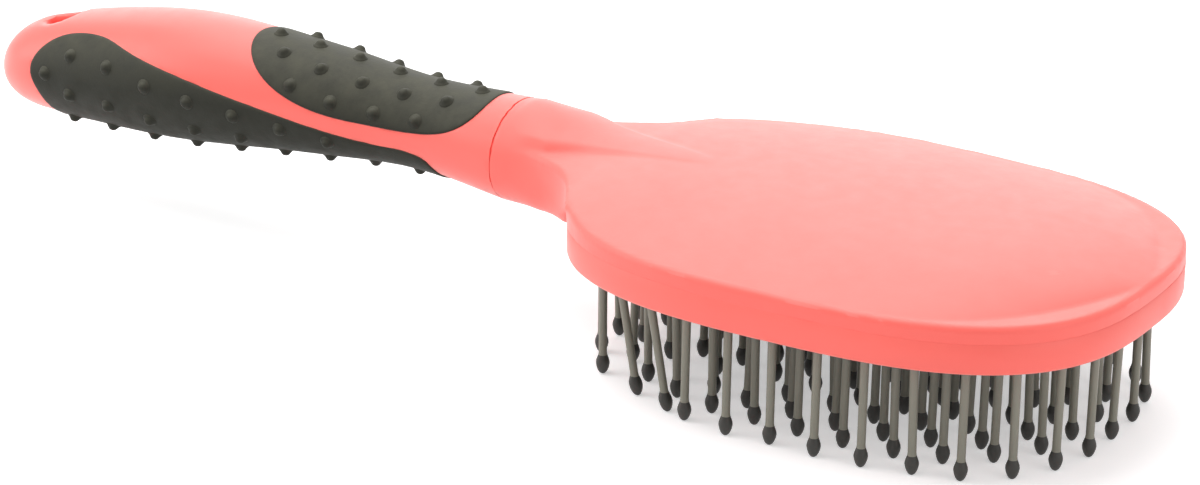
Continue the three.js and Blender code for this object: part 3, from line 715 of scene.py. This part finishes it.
def pin_pods():
    """One piece of pins for each pod, and the places of all pins."""
    pods = sorted(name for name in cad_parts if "_pin_pod" in name)
    shank, tip = pin_shank(), pin_tip()
    all_feet = []
    for node in pods:
        reach = ORIGIN[2] - box_mm(node)[0][2]
        feet = pin_feet(node)
        parts = Parts()
        for foot in feet:
            add_pin(parts, foot, reach)
        add_plate(parts, feet)
        piece(
            node.replace("_pin_pod", "_pins"),
            parts.points,
            parts.faces,
            [shank, tip],
            node,
            [node],
            sharp_degrees=60,
            face_materials=parts.materials,
        )
        all_feet.extend(feet)
    return all_feet


PAD_STEPS = 160
COLLAR_SIDES = 14
TRIANGLES_INSIDE = 1
SHEET_TOLERANCE = 1e-6
WELD_DISTANCE = 1e-6


def pierced_sheet(outline, holes):
    """Points and triangles of a flat sheet inside an outline, without its round holes."""
    loops = [outline, *holes]
    points = [Vector(point) for loop in loops for point in loop]
    loop_of = [number for number, loop in enumerate(loops) for _ in loop]
    edges = []
    for loop in loops:
        start = len(edges)
        edges += [(start + i, start + (i + 1) % len(loop)) for i in range(len(loop))]
    flat, _, faces, *_ = delaunay_2d_cdt(points, edges, [], TRIANGLES_INSIDE, SHEET_TOLERANCE)

    def plugs_hole(face):
        return loop_of[face[0]] > 0 and len({loop_of[corner] for corner in face}) == 1

    return flat, [face for face in faces if not plugs_hole(face)]


def rubber_pad(feet):
    """The membrane with a collar round every pin."""
    circle = unit_circle(COLLAR_SIDES)
    outline = plan_ring(PAD_INSET, 0, PAD_STEPS)[:, :2]
    parts = Parts()
    levels = [(PAD_FLOOR, COLLAR_PROFILE[0][0], True), (PAD_TOP, COLLAR_PROFILE[-1][0], False)]
    for height, radius, is_floor in levels:
        flat, faces = pierced_sheet(outline, [circle * radius + foot for foot in feet])
        points = [(point.x, point.y, height) for point in flat]
        parts.add(points, [face[::-1] if is_floor else face for face in faces])
    rim = np.concatenate([plan_ring(PAD_INSET, height, PAD_STEPS) for height in (PAD_FLOOR, PAD_TOP)])
    parts.add(rim, ring_faces(2, PAD_STEPS))
    profile = [(radius, PAD_FLOOR + height) for radius, height in COLLAR_PROFILE]
    profile.append((COLLAR_PROFILE[-1][0], PAD_TOP))
    collar = turned(profile, COLLAR_SIDES)
    collar_faces = [face[::-1] for face in ring_faces(len(profile), COLLAR_SIDES)]
    for foot in feet:
        parts.add(collar + np.array([foot[0], foot[1], 0]), collar_faces)
    pad = piece(
        "rubber_pad",
        parts.points,
        parts.faces,
        [pad_rubber()],
        "brush",
        ["pin_pad"],
        sharp_degrees=35,
    )
    builder = bmesh.new()
    builder.from_mesh(pad.data)
    bmesh.ops.remove_doubles(builder, verts=builder.verts, dist=WELD_DISTANCE)
    bmesh.ops.recalc_face_normals(builder, faces=builder.faces)
    builder.to_mesh(pad.data)
    builder.free()
    return pad


# Handle
def handle_round(x):
    """Axis height and half height of the handle without its closed end, and how far into the end X lies."""
    from_seam = SEAM_X - x
    cap_share = np.maximum((HANDLE_END + CAP_LENGTH - x) / CAP_LENGTH, 0)
    return spline(HANDLE_STATIONS, 1, from_seam), spline(HANDLE_STATIONS, 2, from_seam), cap_share


def handle_at(x):
    """Height of the handle's axis and its half height at a place along X."""
    axis, half_height, cap_share = handle_round(x)
    return axis, half_height * np.sqrt(1 - np.minimum(cap_share, 1) ** CAP_FULLNESS)


def handle_point(x, turn, lift):
    """Points off the handle's surface by a lift, at angles from its top towards -Y."""
    axis, half_height = handle_at(x)
    y = -(half_height * WIDTH_RATIO + lift) * np.sin(turn)
    z = axis + (half_height + lift) * np.cos(turn)
    return np.stack(np.broadcast_arrays(x, y, z), axis=-1)


class Grip:
    """Outline of a soft grip: places along X and angles from the middle of its side of the handle."""

    def __init__(self, outline, centre, facing, rows, pitch, end_nubs=()):
        self.outline = np.array(outline)
        self.centre = np.array(centre)
        self.facing = facing
        self.rows = rows
        self.pitch = pitch
        self.end_nubs = end_nubs

    def grown(self, distance):
        """The outline moved outwards by a distance over the handle's surface."""
        ahead, behind = np.roll(self.outline, -1, axis=0), np.roll(self.outline, 1, axis=0)
        radius = handle_round(self.outline[:, 0])[1]
        along = ahead[:, 0] - behind[:, 0]
        around = (ahead[:, 1] - behind[:, 1]) * radius
        step = distance / np.hypot(along, around)
        return self.outline + np.stack([step * around, -step * along / radius], axis=1)

    def distance_inside(self, x, turn):
        """How far inside the outline points of the surface lie, in millimetres."""
        radius = handle_round(x)[1]
        apart = (turn - self.facing + math.pi) % (2 * math.pi) - math.pi
        nearest = np.full(np.shape(x), np.inf)
        is_inside = np.zeros(np.shape(x), bool)
        for start, end in zip(self.outline, np.roll(self.outline, -1, axis=0)):
            way_x, way_y = end[0] - start[0], (end[1] - start[1]) * radius
            from_x, from_y = x - start[0], (apart - start[1]) * radius
            share = np.clip((from_x * way_x + from_y * way_y) / (way_x**2 + way_y**2), 0, 1)
            nearest = np.minimum(nearest, np.hypot(from_x - share * way_x, from_y - share * way_y))
            crosses = (start[0] > x) != (end[0] > x)
            level = start[1] + (x - start[0]) / (end[0] - start[0] or 1) * (end[1] - start[1])
            is_inside ^= crosses & (level > apart)
        return np.where(is_inside, nearest, -nearest)

    def wrap_at(self, x):
        """Largest angle of the outline at a place along X."""
        ends = zip(self.outline, np.roll(self.outline, -1, axis=0))
        levels = [
            a[1] + (x - a[0]) / (b[0] - a[0]) * (b[1] - a[1]) for a, b in ends if (a[0] > x) != (b[0] > x)
        ]
        return max(levels, default=0)

    def nub_places(self):
        """Places and angles of the nubs that stand whole inside the outline."""
        front = self.outline[:, 0].max() - NUB_EDGE_DISTANCE
        rear = self.outline[:, 0].min() + NUB_EDGE_DISTANCE
        places = [(x, self.facing + turn) for x, turn in self.end_nubs]
        for share, shift, least_wrap in self.rows:
            for x in np.arange(front - shift * self.pitch, rear, -self.pitch):
                wrap = self.wrap_at(x)
                if wrap < math.radians(least_wrap):
                    continue
                for turn in {self.facing + share * wrap, self.facing - share * wrap}:
                    if self.distance_inside(np.array([x]), np.array([turn]))[0] > NUB_MARGIN:
                        places.append((x, turn))
        return sorted(places)


GRIP_OUTLINE_STEPS = 140


def top_grip_shape():
    """Outline of the upper grip, blunt towards the seam and rounder at its rear."""
    middle = SEAM_X - TOP_GRIP_FROM_SEAM - TOP_GRIP_LENGTH / 2
    along, around = unit_circle(GRIP_OUTLINE_STEPS).T
    power = 2 / np.where(along > 0, *TOP_GRIP_FULLNESS)
    x = middle + TOP_GRIP_LENGTH / 2 * np.sign(along) * np.abs(along) ** power
    turn = TOP_GRIP_WRAP * np.sign(around) * np.abs(around) ** power
    return Grip(np.stack([x, turn], axis=1), (middle, 0), 0, TOP_NUB_ROWS, TOP_NUB_PITCH)


def closed_curve(knots, steps):
    """Evenly stepped smooth closed curve through knots."""
    knots = np.array(knots)
    count = len(knots)
    t = np.linspace(0, count, steps, endpoint=False)
    i = np.floor(t).astype(int)
    s = (t - i)[:, None]
    p0, p1, p2, p3 = (knots[(i + k) % count] for k in (-1, 0, 1, 2))
    bend = (2 * p0 - 5 * p1 + 4 * p2 - p3) * s**2 + (3 * p1 - p0 - 3 * p2 + p3) * s**3
    return p1 + ((p2 - p0) * s + bend) / 2


def lower_grip_shape():
    """Outline of the lower grip, which climbs both sides of the handle at its rear."""
    half = [
        (SEAM_X - LOWER_GRIP_FROM_SEAM - LOWER_GRIP_LENGTH * share, math.radians(wrap))
        for share, wrap in LOWER_GRIP_OUTLINE
    ]
    mirrored = [(x, -turn) for x, turn in half[-2:0:-1]]
    middle = SEAM_X - LOWER_GRIP_FROM_SEAM - LOWER_GRIP_MIDDLE_SHARE * LOWER_GRIP_LENGTH
    outline = closed_curve(half + mirrored, GRIP_OUTLINE_STEPS)
    end_x = SEAM_X - LOWER_GRIP_FROM_SEAM - LOWER_GRIP_LENGTH + LOWER_END_NUB_DISTANCE
    end_nubs = [(end_x, LOWER_END_NUB_TURN), (end_x, -LOWER_END_NUB_TURN)]
    return Grip(outline, (middle, 0), math.pi, LOWER_NUB_ROWS, LOWER_NUB_PITCH, end_nubs)


TOP_GRIP = top_grip_shape()
LOWER_GRIP = lower_grip_shape()


def handle_field(x, y, z):
    """The arched handle with dips for its grips and a hang hole near its end."""
    axis, half_height, cap_share = handle_round(x)
    half_width = half_height * WIDTH_RATIO
    reach = np.hypot(y / half_width, (z - axis) / half_height)
    body = (np.sqrt(reach * reach + cap_share**CAP_FULLNESS) - 1) * half_height
    turn = np.arctan2(-y / half_width, (z - axis) / half_height)
    inside = np.maximum(TOP_GRIP.distance_inside(x, turn), LOWER_GRIP.distance_inside(x, turn))
    body = body + GRIP_DIP * smoothstep(GRIP_DIP_START, GRIP_DIP_WIDTH, inside)
    hole_x = HANDLE_END + HANG_HOLE_FROM_END
    hole = np.hypot(x - hole_x, y) - HANG_HOLE_RADIUS
    body = cut(body, hole, HANG_HOLE_LIP)
    return np.maximum(body, x - HANDLE_FRONT)


HANDLE_STEP = 0.75
HANDLE_GRID_LOW = (HANDLE_END - 1.1, -15.2, -9.3)
HANDLE_GRID_HIGH = (HANDLE_FRONT + 1.5, 15.8, 20.5)


def handle():
    """The handle's hard core."""
    points, quads = contour(handle_field, HANDLE_GRID_LOW, HANDLE_GRID_HIGH, HANDLE_STEP)
    return piece("handle", points, quads, [coral_gloss()], "brush", ["handle_core"])


# Sections of a grip: inset from its outline and lift off the handle, and shares of the way to its edge
GRIP_EDGE = [(0, -0.05), (0.02, 0.09), (0.1, 0.17), (0.25, 0.24), (0.5, 0.28), (0.9, GRIP_PROUD)]
GRIP_UNDERSIDE = [(0.9, -0.75), (0.4, -0.3), (0.1, -0.08)]
GRIP_FILL_SHARES = [0.96, 0.9, 0.83, 0.75, 0.66, 0.57, 0.48, 0.39, 0.3, 0.21, 0.12, 0.05]
GRIP_FLOOR = -0.95
NUB_SIDES = 14
NUB_STEP_ALONG = 0.1
NUB_STEP_TURN = 0.01


def grip_piece(name, grip, node):
    """A soft grip: rings from the middle of its top out to its edge and back under it, and its nubs."""

    def ring(inset, lift, share=1):
        edge = grip.grown(-inset)
        spots = grip.centre + (edge - grip.centre) * share
        return handle_point(spots[:, 0], grip.facing + spots[:, 1], lift)

    inset = GRIP_EDGE[-1][0]
    rings = [ring(inset, GRIP_PROUD, share) for share in GRIP_FILL_SHARES[::-1]]
    rings += [ring(distance, lift) for distance, lift in GRIP_EDGE[::-1]]
    rings += [ring(distance, lift) for distance, lift in GRIP_UNDERSIDE[::-1]]
    rings += [ring(inset, GRIP_FLOOR, share) for share in GRIP_FILL_SHARES]
    points = np.concatenate(rings)
    count = GRIP_OUTLINE_STEPS
    faces = ring_faces(len(rings), count)
    top = tuple(range(count))[::-1]
    bottom = tuple((len(rings) - 1) * count + j for j in range(count))
    parts = Parts()
    parts.add(points, [*faces, top, bottom])
    nub, nub_faces = turned_body(NUB_PROFILE, NUB_SIDES)
    for x, turn in grip.nub_places():
        spot = Vector(handle_point(np.array(x), np.array(turn), GRIP_PROUD))
        along = Vector(handle_point(np.array(x + NUB_STEP_ALONG), np.array(turn), GRIP_PROUD)) - spot
        around = Vector(handle_point(np.array(x), np.array(turn + NUB_STEP_TURN), GRIP_PROUD)) - spot
        upright = around.cross(along).to_track_quat("Z", "X").to_matrix()
        parts.add([upright @ Vector(point) + spot for point in nub], nub_faces)
    return piece(
        name,
        parts.points,
        parts.faces,
        [grip_rubber()],
        "brush",
        [node],
        sharp_degrees=60,
    )


# Shared finishes
def new_group(name, inputs, outputs):
    """A shader group with named sockets, each given as name, kind and, for an input, first value."""
    group = bpy.data.node_groups.new(name, "ShaderNodeTree")
    for label, kind, value in inputs:
        socket = group.interface.new_socket(label, in_out="INPUT", socket_type=kind)
        socket.default_value = value
    for label, kind in outputs:
        group.interface.new_socket(label, in_out="OUTPUT", socket_type=kind)
    return group, group.nodes.new("NodeGroupInput"), group.nodes.new("NodeGroupOutput")


def noise(tree, coordinates, scale, detail, roughness):
    """Output of a noise texture."""
    node = tree.nodes.new("ShaderNodeTexNoise")
    node.inputs["Scale"].default_value = scale
    node.inputs["Detail"].default_value = detail
    node.inputs["Roughness"].default_value = roughness
    tree.links.new(coordinates, node.inputs["Vector"])
    return node.outputs["Fac"]


def spread(tree, value, low, high, to_low, to_high):
    """A value moved from one span to another."""
    node = tree.nodes.new("ShaderNodeMapRange")
    for label, number in zip(("From Min", "From Max", "To Min", "To Max"), (low, high, to_low, to_high)):
        socket = node.inputs[label]
        if isinstance(number, (int, float)):
            socket.default_value = number
        else:
            tree.links.new(number, socket)
    tree.links.new(value, node.inputs["Value"])
    return node.outputs["Result"]


def arithmetic(tree, operation, first, second):
    """Output of one sum on numbers or sockets."""
    node = tree.nodes.new("ShaderNodeMath")
    node.operation = operation
    for socket, value in zip(node.inputs, (first, second)):
        if isinstance(value, (int, float)):
            socket.default_value = value
        else:
            tree.links.new(value, socket)
    return node.outputs["Value"]


def mixed(tree, share, first, second):
    """Two colours mixed by a share."""
    node = tree.nodes.new("ShaderNodeMix")
    node.data_type = "RGBA"
    for label, value in (("Factor", share), ("A", first), ("B", second)):
        kind = "VALUE" if label == "Factor" else "RGBA"
        socket = next(s for s in node.inputs if s.name == label and s.type == kind)
        if isinstance(value, (int, float, tuple)):
            socket.default_value = value
        else:
            tree.links.new(value, socket)
    return next(s for s in node.outputs if s.type == "RGBA")


# Noises as scale, detail and roughness, and the spans of values that the effects spread over
CLOUD_NOISE = (45, 3, 0.55)
SMEAR_NOISE = (260, 4, 0.6)
CLOUD_SPAN = (0.35, 0.7)
SMEAR_SPAN = (0.3, 0.7)
RAISED_EDGE_SPAN = (0.52, 0.6)
# Span of the normal's upward part over which the painted top light spreads
TOP_LIGHT_UPWARD_SPAN = (0, 0.9)
RELIEF_DEPTH = 0.0001


def make_moulded_group():
    """Moulded surface: cloudy tone, fine grain, paler raised edges where it wears, and painted light on
    upward faces, made paler as if lit from above.
    """
    group, inside, outside = new_group(
        "moulded surface",
        [
            ("Colour", "NodeSocketColor", (1, 1, 1, 1)),
            ("Shade Colour", "NodeSocketColor", (0, 0, 0, 1)),
            ("Rubbed And Top Lit Colour", "NodeSocketColor", (1, 1, 1, 1)),
            ("Cloudiness", "NodeSocketFloat", 0.1),
            ("Rubbing", "NodeSocketFloat", 0.2),
            # Share of painted light: upward faces are made paler, standing in for light from above
            ("Painted Top Light", "NodeSocketFloat", 0.0),
            ("Smooth Roughness", "NodeSocketFloat", 0.35),
            ("Grain Roughness", "NodeSocketFloat", 0.5),
            ("Grain Scale", "NodeSocketFloat", 2500.0),
        ],
        [("Colour", "NodeSocketColor"), ("Roughness", "NodeSocketFloat"), ("Height", "NodeSocketFloat")],
    )
    coordinates = group.nodes.new("ShaderNodeTexCoord")
    place = coordinates.outputs["Object"]
    geometry = group.nodes.new("ShaderNodeNewGeometry")
    clouds = noise(group, place, *CLOUD_NOISE)
    smears = noise(group, place, *SMEAR_NOISE)
    cloud_share = spread(group, clouds, *CLOUD_SPAN, 0, inside.outputs["Cloudiness"])
    toned = mixed(group, cloud_share, inside.outputs["Colour"], inside.outputs["Shade Colour"])
    edge = spread(group, geometry.outputs["Pointiness"], *RAISED_EDGE_SPAN, 0, inside.outputs["Rubbing"])
    facing = group.nodes.new("ShaderNodeSeparateXYZ")
    group.links.new(coordinates.outputs["Normal"], facing.inputs["Vector"])
    # Painted light: faces that point up are mixed towards the paler colour, as if lit from above
    painted_top_light = spread(group, facing.outputs["Z"], *TOP_LIGHT_UPWARD_SPAN, 0, inside.outputs["Painted Top Light"])
    rubbing_and_top_light = arithmetic(group, "MULTIPLY", arithmetic(group, "MAXIMUM", edge, painted_top_light), smears)
    rubbed_and_top_lit = mixed(group, rubbing_and_top_light, toned, inside.outputs["Rubbed And Top Lit Colour"])
    group.links.new(rubbed_and_top_lit, outside.inputs["Colour"])
    smooth_rough, grain_rough = inside.outputs["Smooth Roughness"], inside.outputs["Grain Roughness"]
    rough = spread(group, smears, *SMEAR_SPAN, smooth_rough, grain_rough)
    group.links.new(rough, outside.inputs["Roughness"])
    grain = group.nodes.new("ShaderNodeTexNoise")
    grain.inputs["Detail"].default_value = 1
    group.links.new(place, grain.inputs["Vector"])
    group.links.new(inside.outputs["Grain Scale"], grain.inputs["Scale"])
    group.links.new(grain.outputs["Fac"], outside.inputs["Height"])
    return group


MOULDED = make_moulded_group()


def moulded_material(name, colour, shade, rubbed_and_top_lit, values, bump, specular=0.5, sheen=0):
    """A plastic or rubber whose tone, gloss and grain come from the moulded surface."""
    found = bpy.data.materials.get(name)
    if found:
        return found
    material = bpy.data.materials.new(name)
    material.use_nodes = True
    tree = material.node_tree
    shader = tree.nodes["Principled BSDF"]
    surface = tree.nodes.new("ShaderNodeGroup")
    surface.node_tree = MOULDED
    for label, value in (("Colour", colour), ("Shade Colour", shade), ("Rubbed And Top Lit Colour", rubbed_and_top_lit)):
        surface.inputs[label].default_value = (*value, 1)
    for label, value in values.items():
        surface.inputs[label].default_value = value
    tree.links.new(surface.outputs["Colour"], shader.inputs["Base Color"])
    tree.links.new(surface.outputs["Roughness"], shader.inputs["Roughness"])
    relief = tree.nodes.new("ShaderNodeBump")
    relief.inputs["Strength"].default_value = bump
    relief.inputs["Distance"].default_value = RELIEF_DEPTH
    tree.links.new(surface.outputs["Height"], relief.inputs["Height"])
    tree.links.new(relief.outputs["Normal"], shader.inputs["Normal"])
    shader.inputs["Specular IOR Level"].default_value = specular
    shader.inputs["Sheen Weight"].default_value = sheen
    return material


CORAL = (1.0, 0.14, 0.112)
CORAL_SHADE = (0.98, 0.12, 0.094)
CORAL_RUBBED = (1.0, 0.24, 0.195)


def coral_satin():
    """Satin plastic of the head."""
    values = {
        "Cloudiness": 0.35,
        "Rubbing": 0.35,
        "Smooth Roughness": 0.4,
        "Grain Roughness": 0.5,
        "Grain Scale": 3200.0,
    }
    colours = (CORAL, CORAL_SHADE, CORAL_RUBBED)
    return moulded_material("coral satin plastic", *colours, values, bump=0.12, sheen=0.3)


def coral_gloss():
    """Smoother plastic of the handle."""
    values = {
        "Cloudiness": 0.35,
        "Rubbing": 0.3,
        "Smooth Roughness": 0.32,
        "Grain Roughness": 0.42,
        "Grain Scale": 2600.0,
    }
    colours = (CORAL, CORAL_SHADE, CORAL_RUBBED)
    return moulded_material("coral handle plastic", *colours, values, bump=0.08, sheen=0.25)


def grip_rubber():
    """Soft dark grey of the grips, paler on raised edges where it wears, and paler on upward faces as
    painted light from above.
    """
    values = {
        "Cloudiness": 0.5,
        "Rubbing": 0.3,
        # Strong painted light on upward faces, which also makes the nubs' tops pale and their sides dark
        "Painted Top Light": 0.9,
        "Smooth Roughness": 0.52,
        "Grain Roughness": 0.68,
        "Grain Scale": 2200.0,
    }
    # The third colour is the paler tone of wear on raised edges and of painted light on upward faces
    colours = ((0.023, 0.0232, 0.0165), (0.018, 0.0183, 0.013), (0.115, 0.112, 0.082))
    return moulded_material("soft grip rubber", *colours, values, bump=0.35, specular=0.2)


def pad_rubber():
    """Matt rubber of the pad."""
    values = {
        "Cloudiness": 0.5,
        "Rubbing": 0.3,
        "Smooth Roughness": 0.6,
        "Grain Roughness": 0.75,
        "Grain Scale": 1800.0,
    }
    colours = ((0.036, 0.035, 0.032), (0.025, 0.025, 0.023), (0.07, 0.07, 0.065))
    return moulded_material("pad rubber", *colours, values, bump=0.4, specular=0.4)


def pin_shank():
    """Grey plastic of the pins."""
    values = {
        "Cloudiness": 0.4,
        "Rubbing": 0.1,
        "Smooth Roughness": 0.36,
        "Grain Roughness": 0.48,
        "Grain Scale": 3000.0,
    }
    colours = ((0.23, 0.223, 0.178), (0.17, 0.163, 0.13), (0.3, 0.29, 0.24))
    return moulded_material("pin shank plastic", *colours, values, bump=0.06)


def pin_tip():
    """Darker coating of the pins' tips."""
    values = {
        "Cloudiness": 0.4,
        "Rubbing": 0.1,
        "Smooth Roughness": 0.42,
        "Grain Roughness": 0.55,
        "Grain Scale": 3000.0,
    }
    colours = ((0.037, 0.035, 0.03), (0.028, 0.027, 0.023), (0.08, 0.078, 0.07))
    return moulded_material("pin tip coating", *colours, values, bump=0.1)


# Studio
def camera():
    """The camera at the photograph's view."""
    azimuth, elevation, roll = (math.radians(a) for a in (CAMERA_AZIMUTH, CAMERA_ELEVATION, CAMERA_ROLL))
    back = Vector(
        (
            math.sin(azimuth) * math.cos(elevation),
            -math.cos(azimuth) * math.cos(elevation),
            math.sin(elevation),
        )
    )
    right = Vector((math.cos(azimuth), math.sin(azimuth), 0))
    up = back.cross(right)
    rolled_right = math.cos(roll) * right + math.sin(roll) * up
    rolled_up = back.cross(rolled_right)
    place = (Vector(ORIGIN) + Vector(CAMERA_TARGET) + back * CAMERA_DISTANCE) * MM
    turn = Matrix((rolled_right, rolled_up, back)).transposed().to_4x4()
    data = bpy.data.cameras.new("camera")
    data.lens = CAMERA_LENS
    data.sensor_width = CAMERA_SENSOR
    data.clip_start = CAMERA_CLIP * MM
    made = bpy.data.objects.new("camera", data)
    made.matrix_world = Matrix.Translation(place) @ turn
    bpy.context.scene.collection.objects.link(made)
    bpy.context.scene.camera = made


def soft_light(name, place, aim, size, power):
    """An area lamp that the camera doesn't see."""
    data = bpy.data.lights.new(name, "AREA")
    data.shape = "RECTANGLE"
    data.size, data.size_y = size
    data.energy = power
    made = bpy.data.objects.new(name, data)
    made.location = place
    made.visible_camera = False
    made.rotation_euler = (Vector(aim) - Vector(place)).to_track_quat("-Z", "Y").to_euler()
    bpy.context.scene.collection.objects.link(made)


WHITE = (1, 1, 1, 1)
WORLD_STRENGTH = 0.66
FLOOR_SIZE = 6
FLOOR_COLOUR = (0.8, 0.8, 0.8, 1)
FLOOR_ROUGHNESS = 0.9
FLOOR_SPECULAR = 0.1
FLOOR_GLOW = 0.45

# Lamps: name, place, aim, width and height in metres, power in watts
LAMPS = [
    ("overhead softbox", (-0.32, 0.08, 1.1), (0, 0, 0.02), (1.2, 0.9), 9),
    ("back softbox", (-0.7, 1.15, 0.75), (0.03, 0, 0.02), (1.7, 1.6), 11),
    ("left fill", (-0.9, -0.45, 0.45), (0, 0, 0.03), (0.7, 0.7), 4),
    ("right fill", (1.0, -0.1, 0.4), (0.1, 0, 0.03), (0.5, 0.5), 1.5),
]


def floor_paint():
    """Pale matt paint that camera and mirror rays see lit up to white, with the object's shadow kept."""
    material = bpy.data.materials.new("pale floor")
    material.use_nodes = True
    tree = material.node_tree
    shader = tree.nodes["Principled BSDF"]
    shader.inputs["Base Color"].default_value = FLOOR_COLOUR
    shader.inputs["Roughness"].default_value = FLOOR_ROUGHNESS
    shader.inputs["Specular IOR Level"].default_value = FLOOR_SPECULAR
    shader.inputs["Emission Color"].default_value = WHITE
    rays = tree.nodes.new("ShaderNodeLightPath")
    seen = arithmetic(tree, "MAXIMUM", rays.outputs["Is Camera Ray"], rays.outputs["Is Glossy Ray"])
    tree.links.new(arithmetic(tree, "MULTIPLY", seen, FLOOR_GLOW), shader.inputs["Emission Strength"])
    return material


def pale_floor():
    """The floor that the pins stand on."""
    mesh = bpy.data.meshes.new("floor")
    half = FLOOR_SIZE / 2
    corners = [(-half, -half, 0), (half, -half, 0), (half, half, 0), (-half, half, 0)]
    mesh.from_pydata(corners, [], [(0, 1, 2, 3)])
    mesh.materials.append(floor_paint())
    floor = bpy.data.objects.new("floor", mesh)
    floor.location.z = CAD_BOX[0][2]
    bpy.context.scene.collection.objects.link(floor)


def studio():
    """White world, pale floor and soft lamps."""
    bpy.context.scene.view_settings.view_transform = "Standard"
    world = bpy.data.worlds.new("white studio")
    world.use_nodes = True
    backdrop = world.node_tree.nodes["Background"]
    backdrop.inputs["Color"].default_value = WHITE
    backdrop.inputs["Strength"].default_value = WORLD_STRENGTH
    bpy.context.scene.world = world
    pale_floor()
    for lamp in LAMPS:
        soft_light(*lamp)


camera()
studio()
head_shell()
head_frame()
pin_places = pin_pods()
rubber_pad(pin_places)
handle()
grip_piece("top_grip_inlay", TOP_GRIP, "top_grip")
grip_piece("lower_grip_inlay", LOWER_GRIP, "lower_grip")
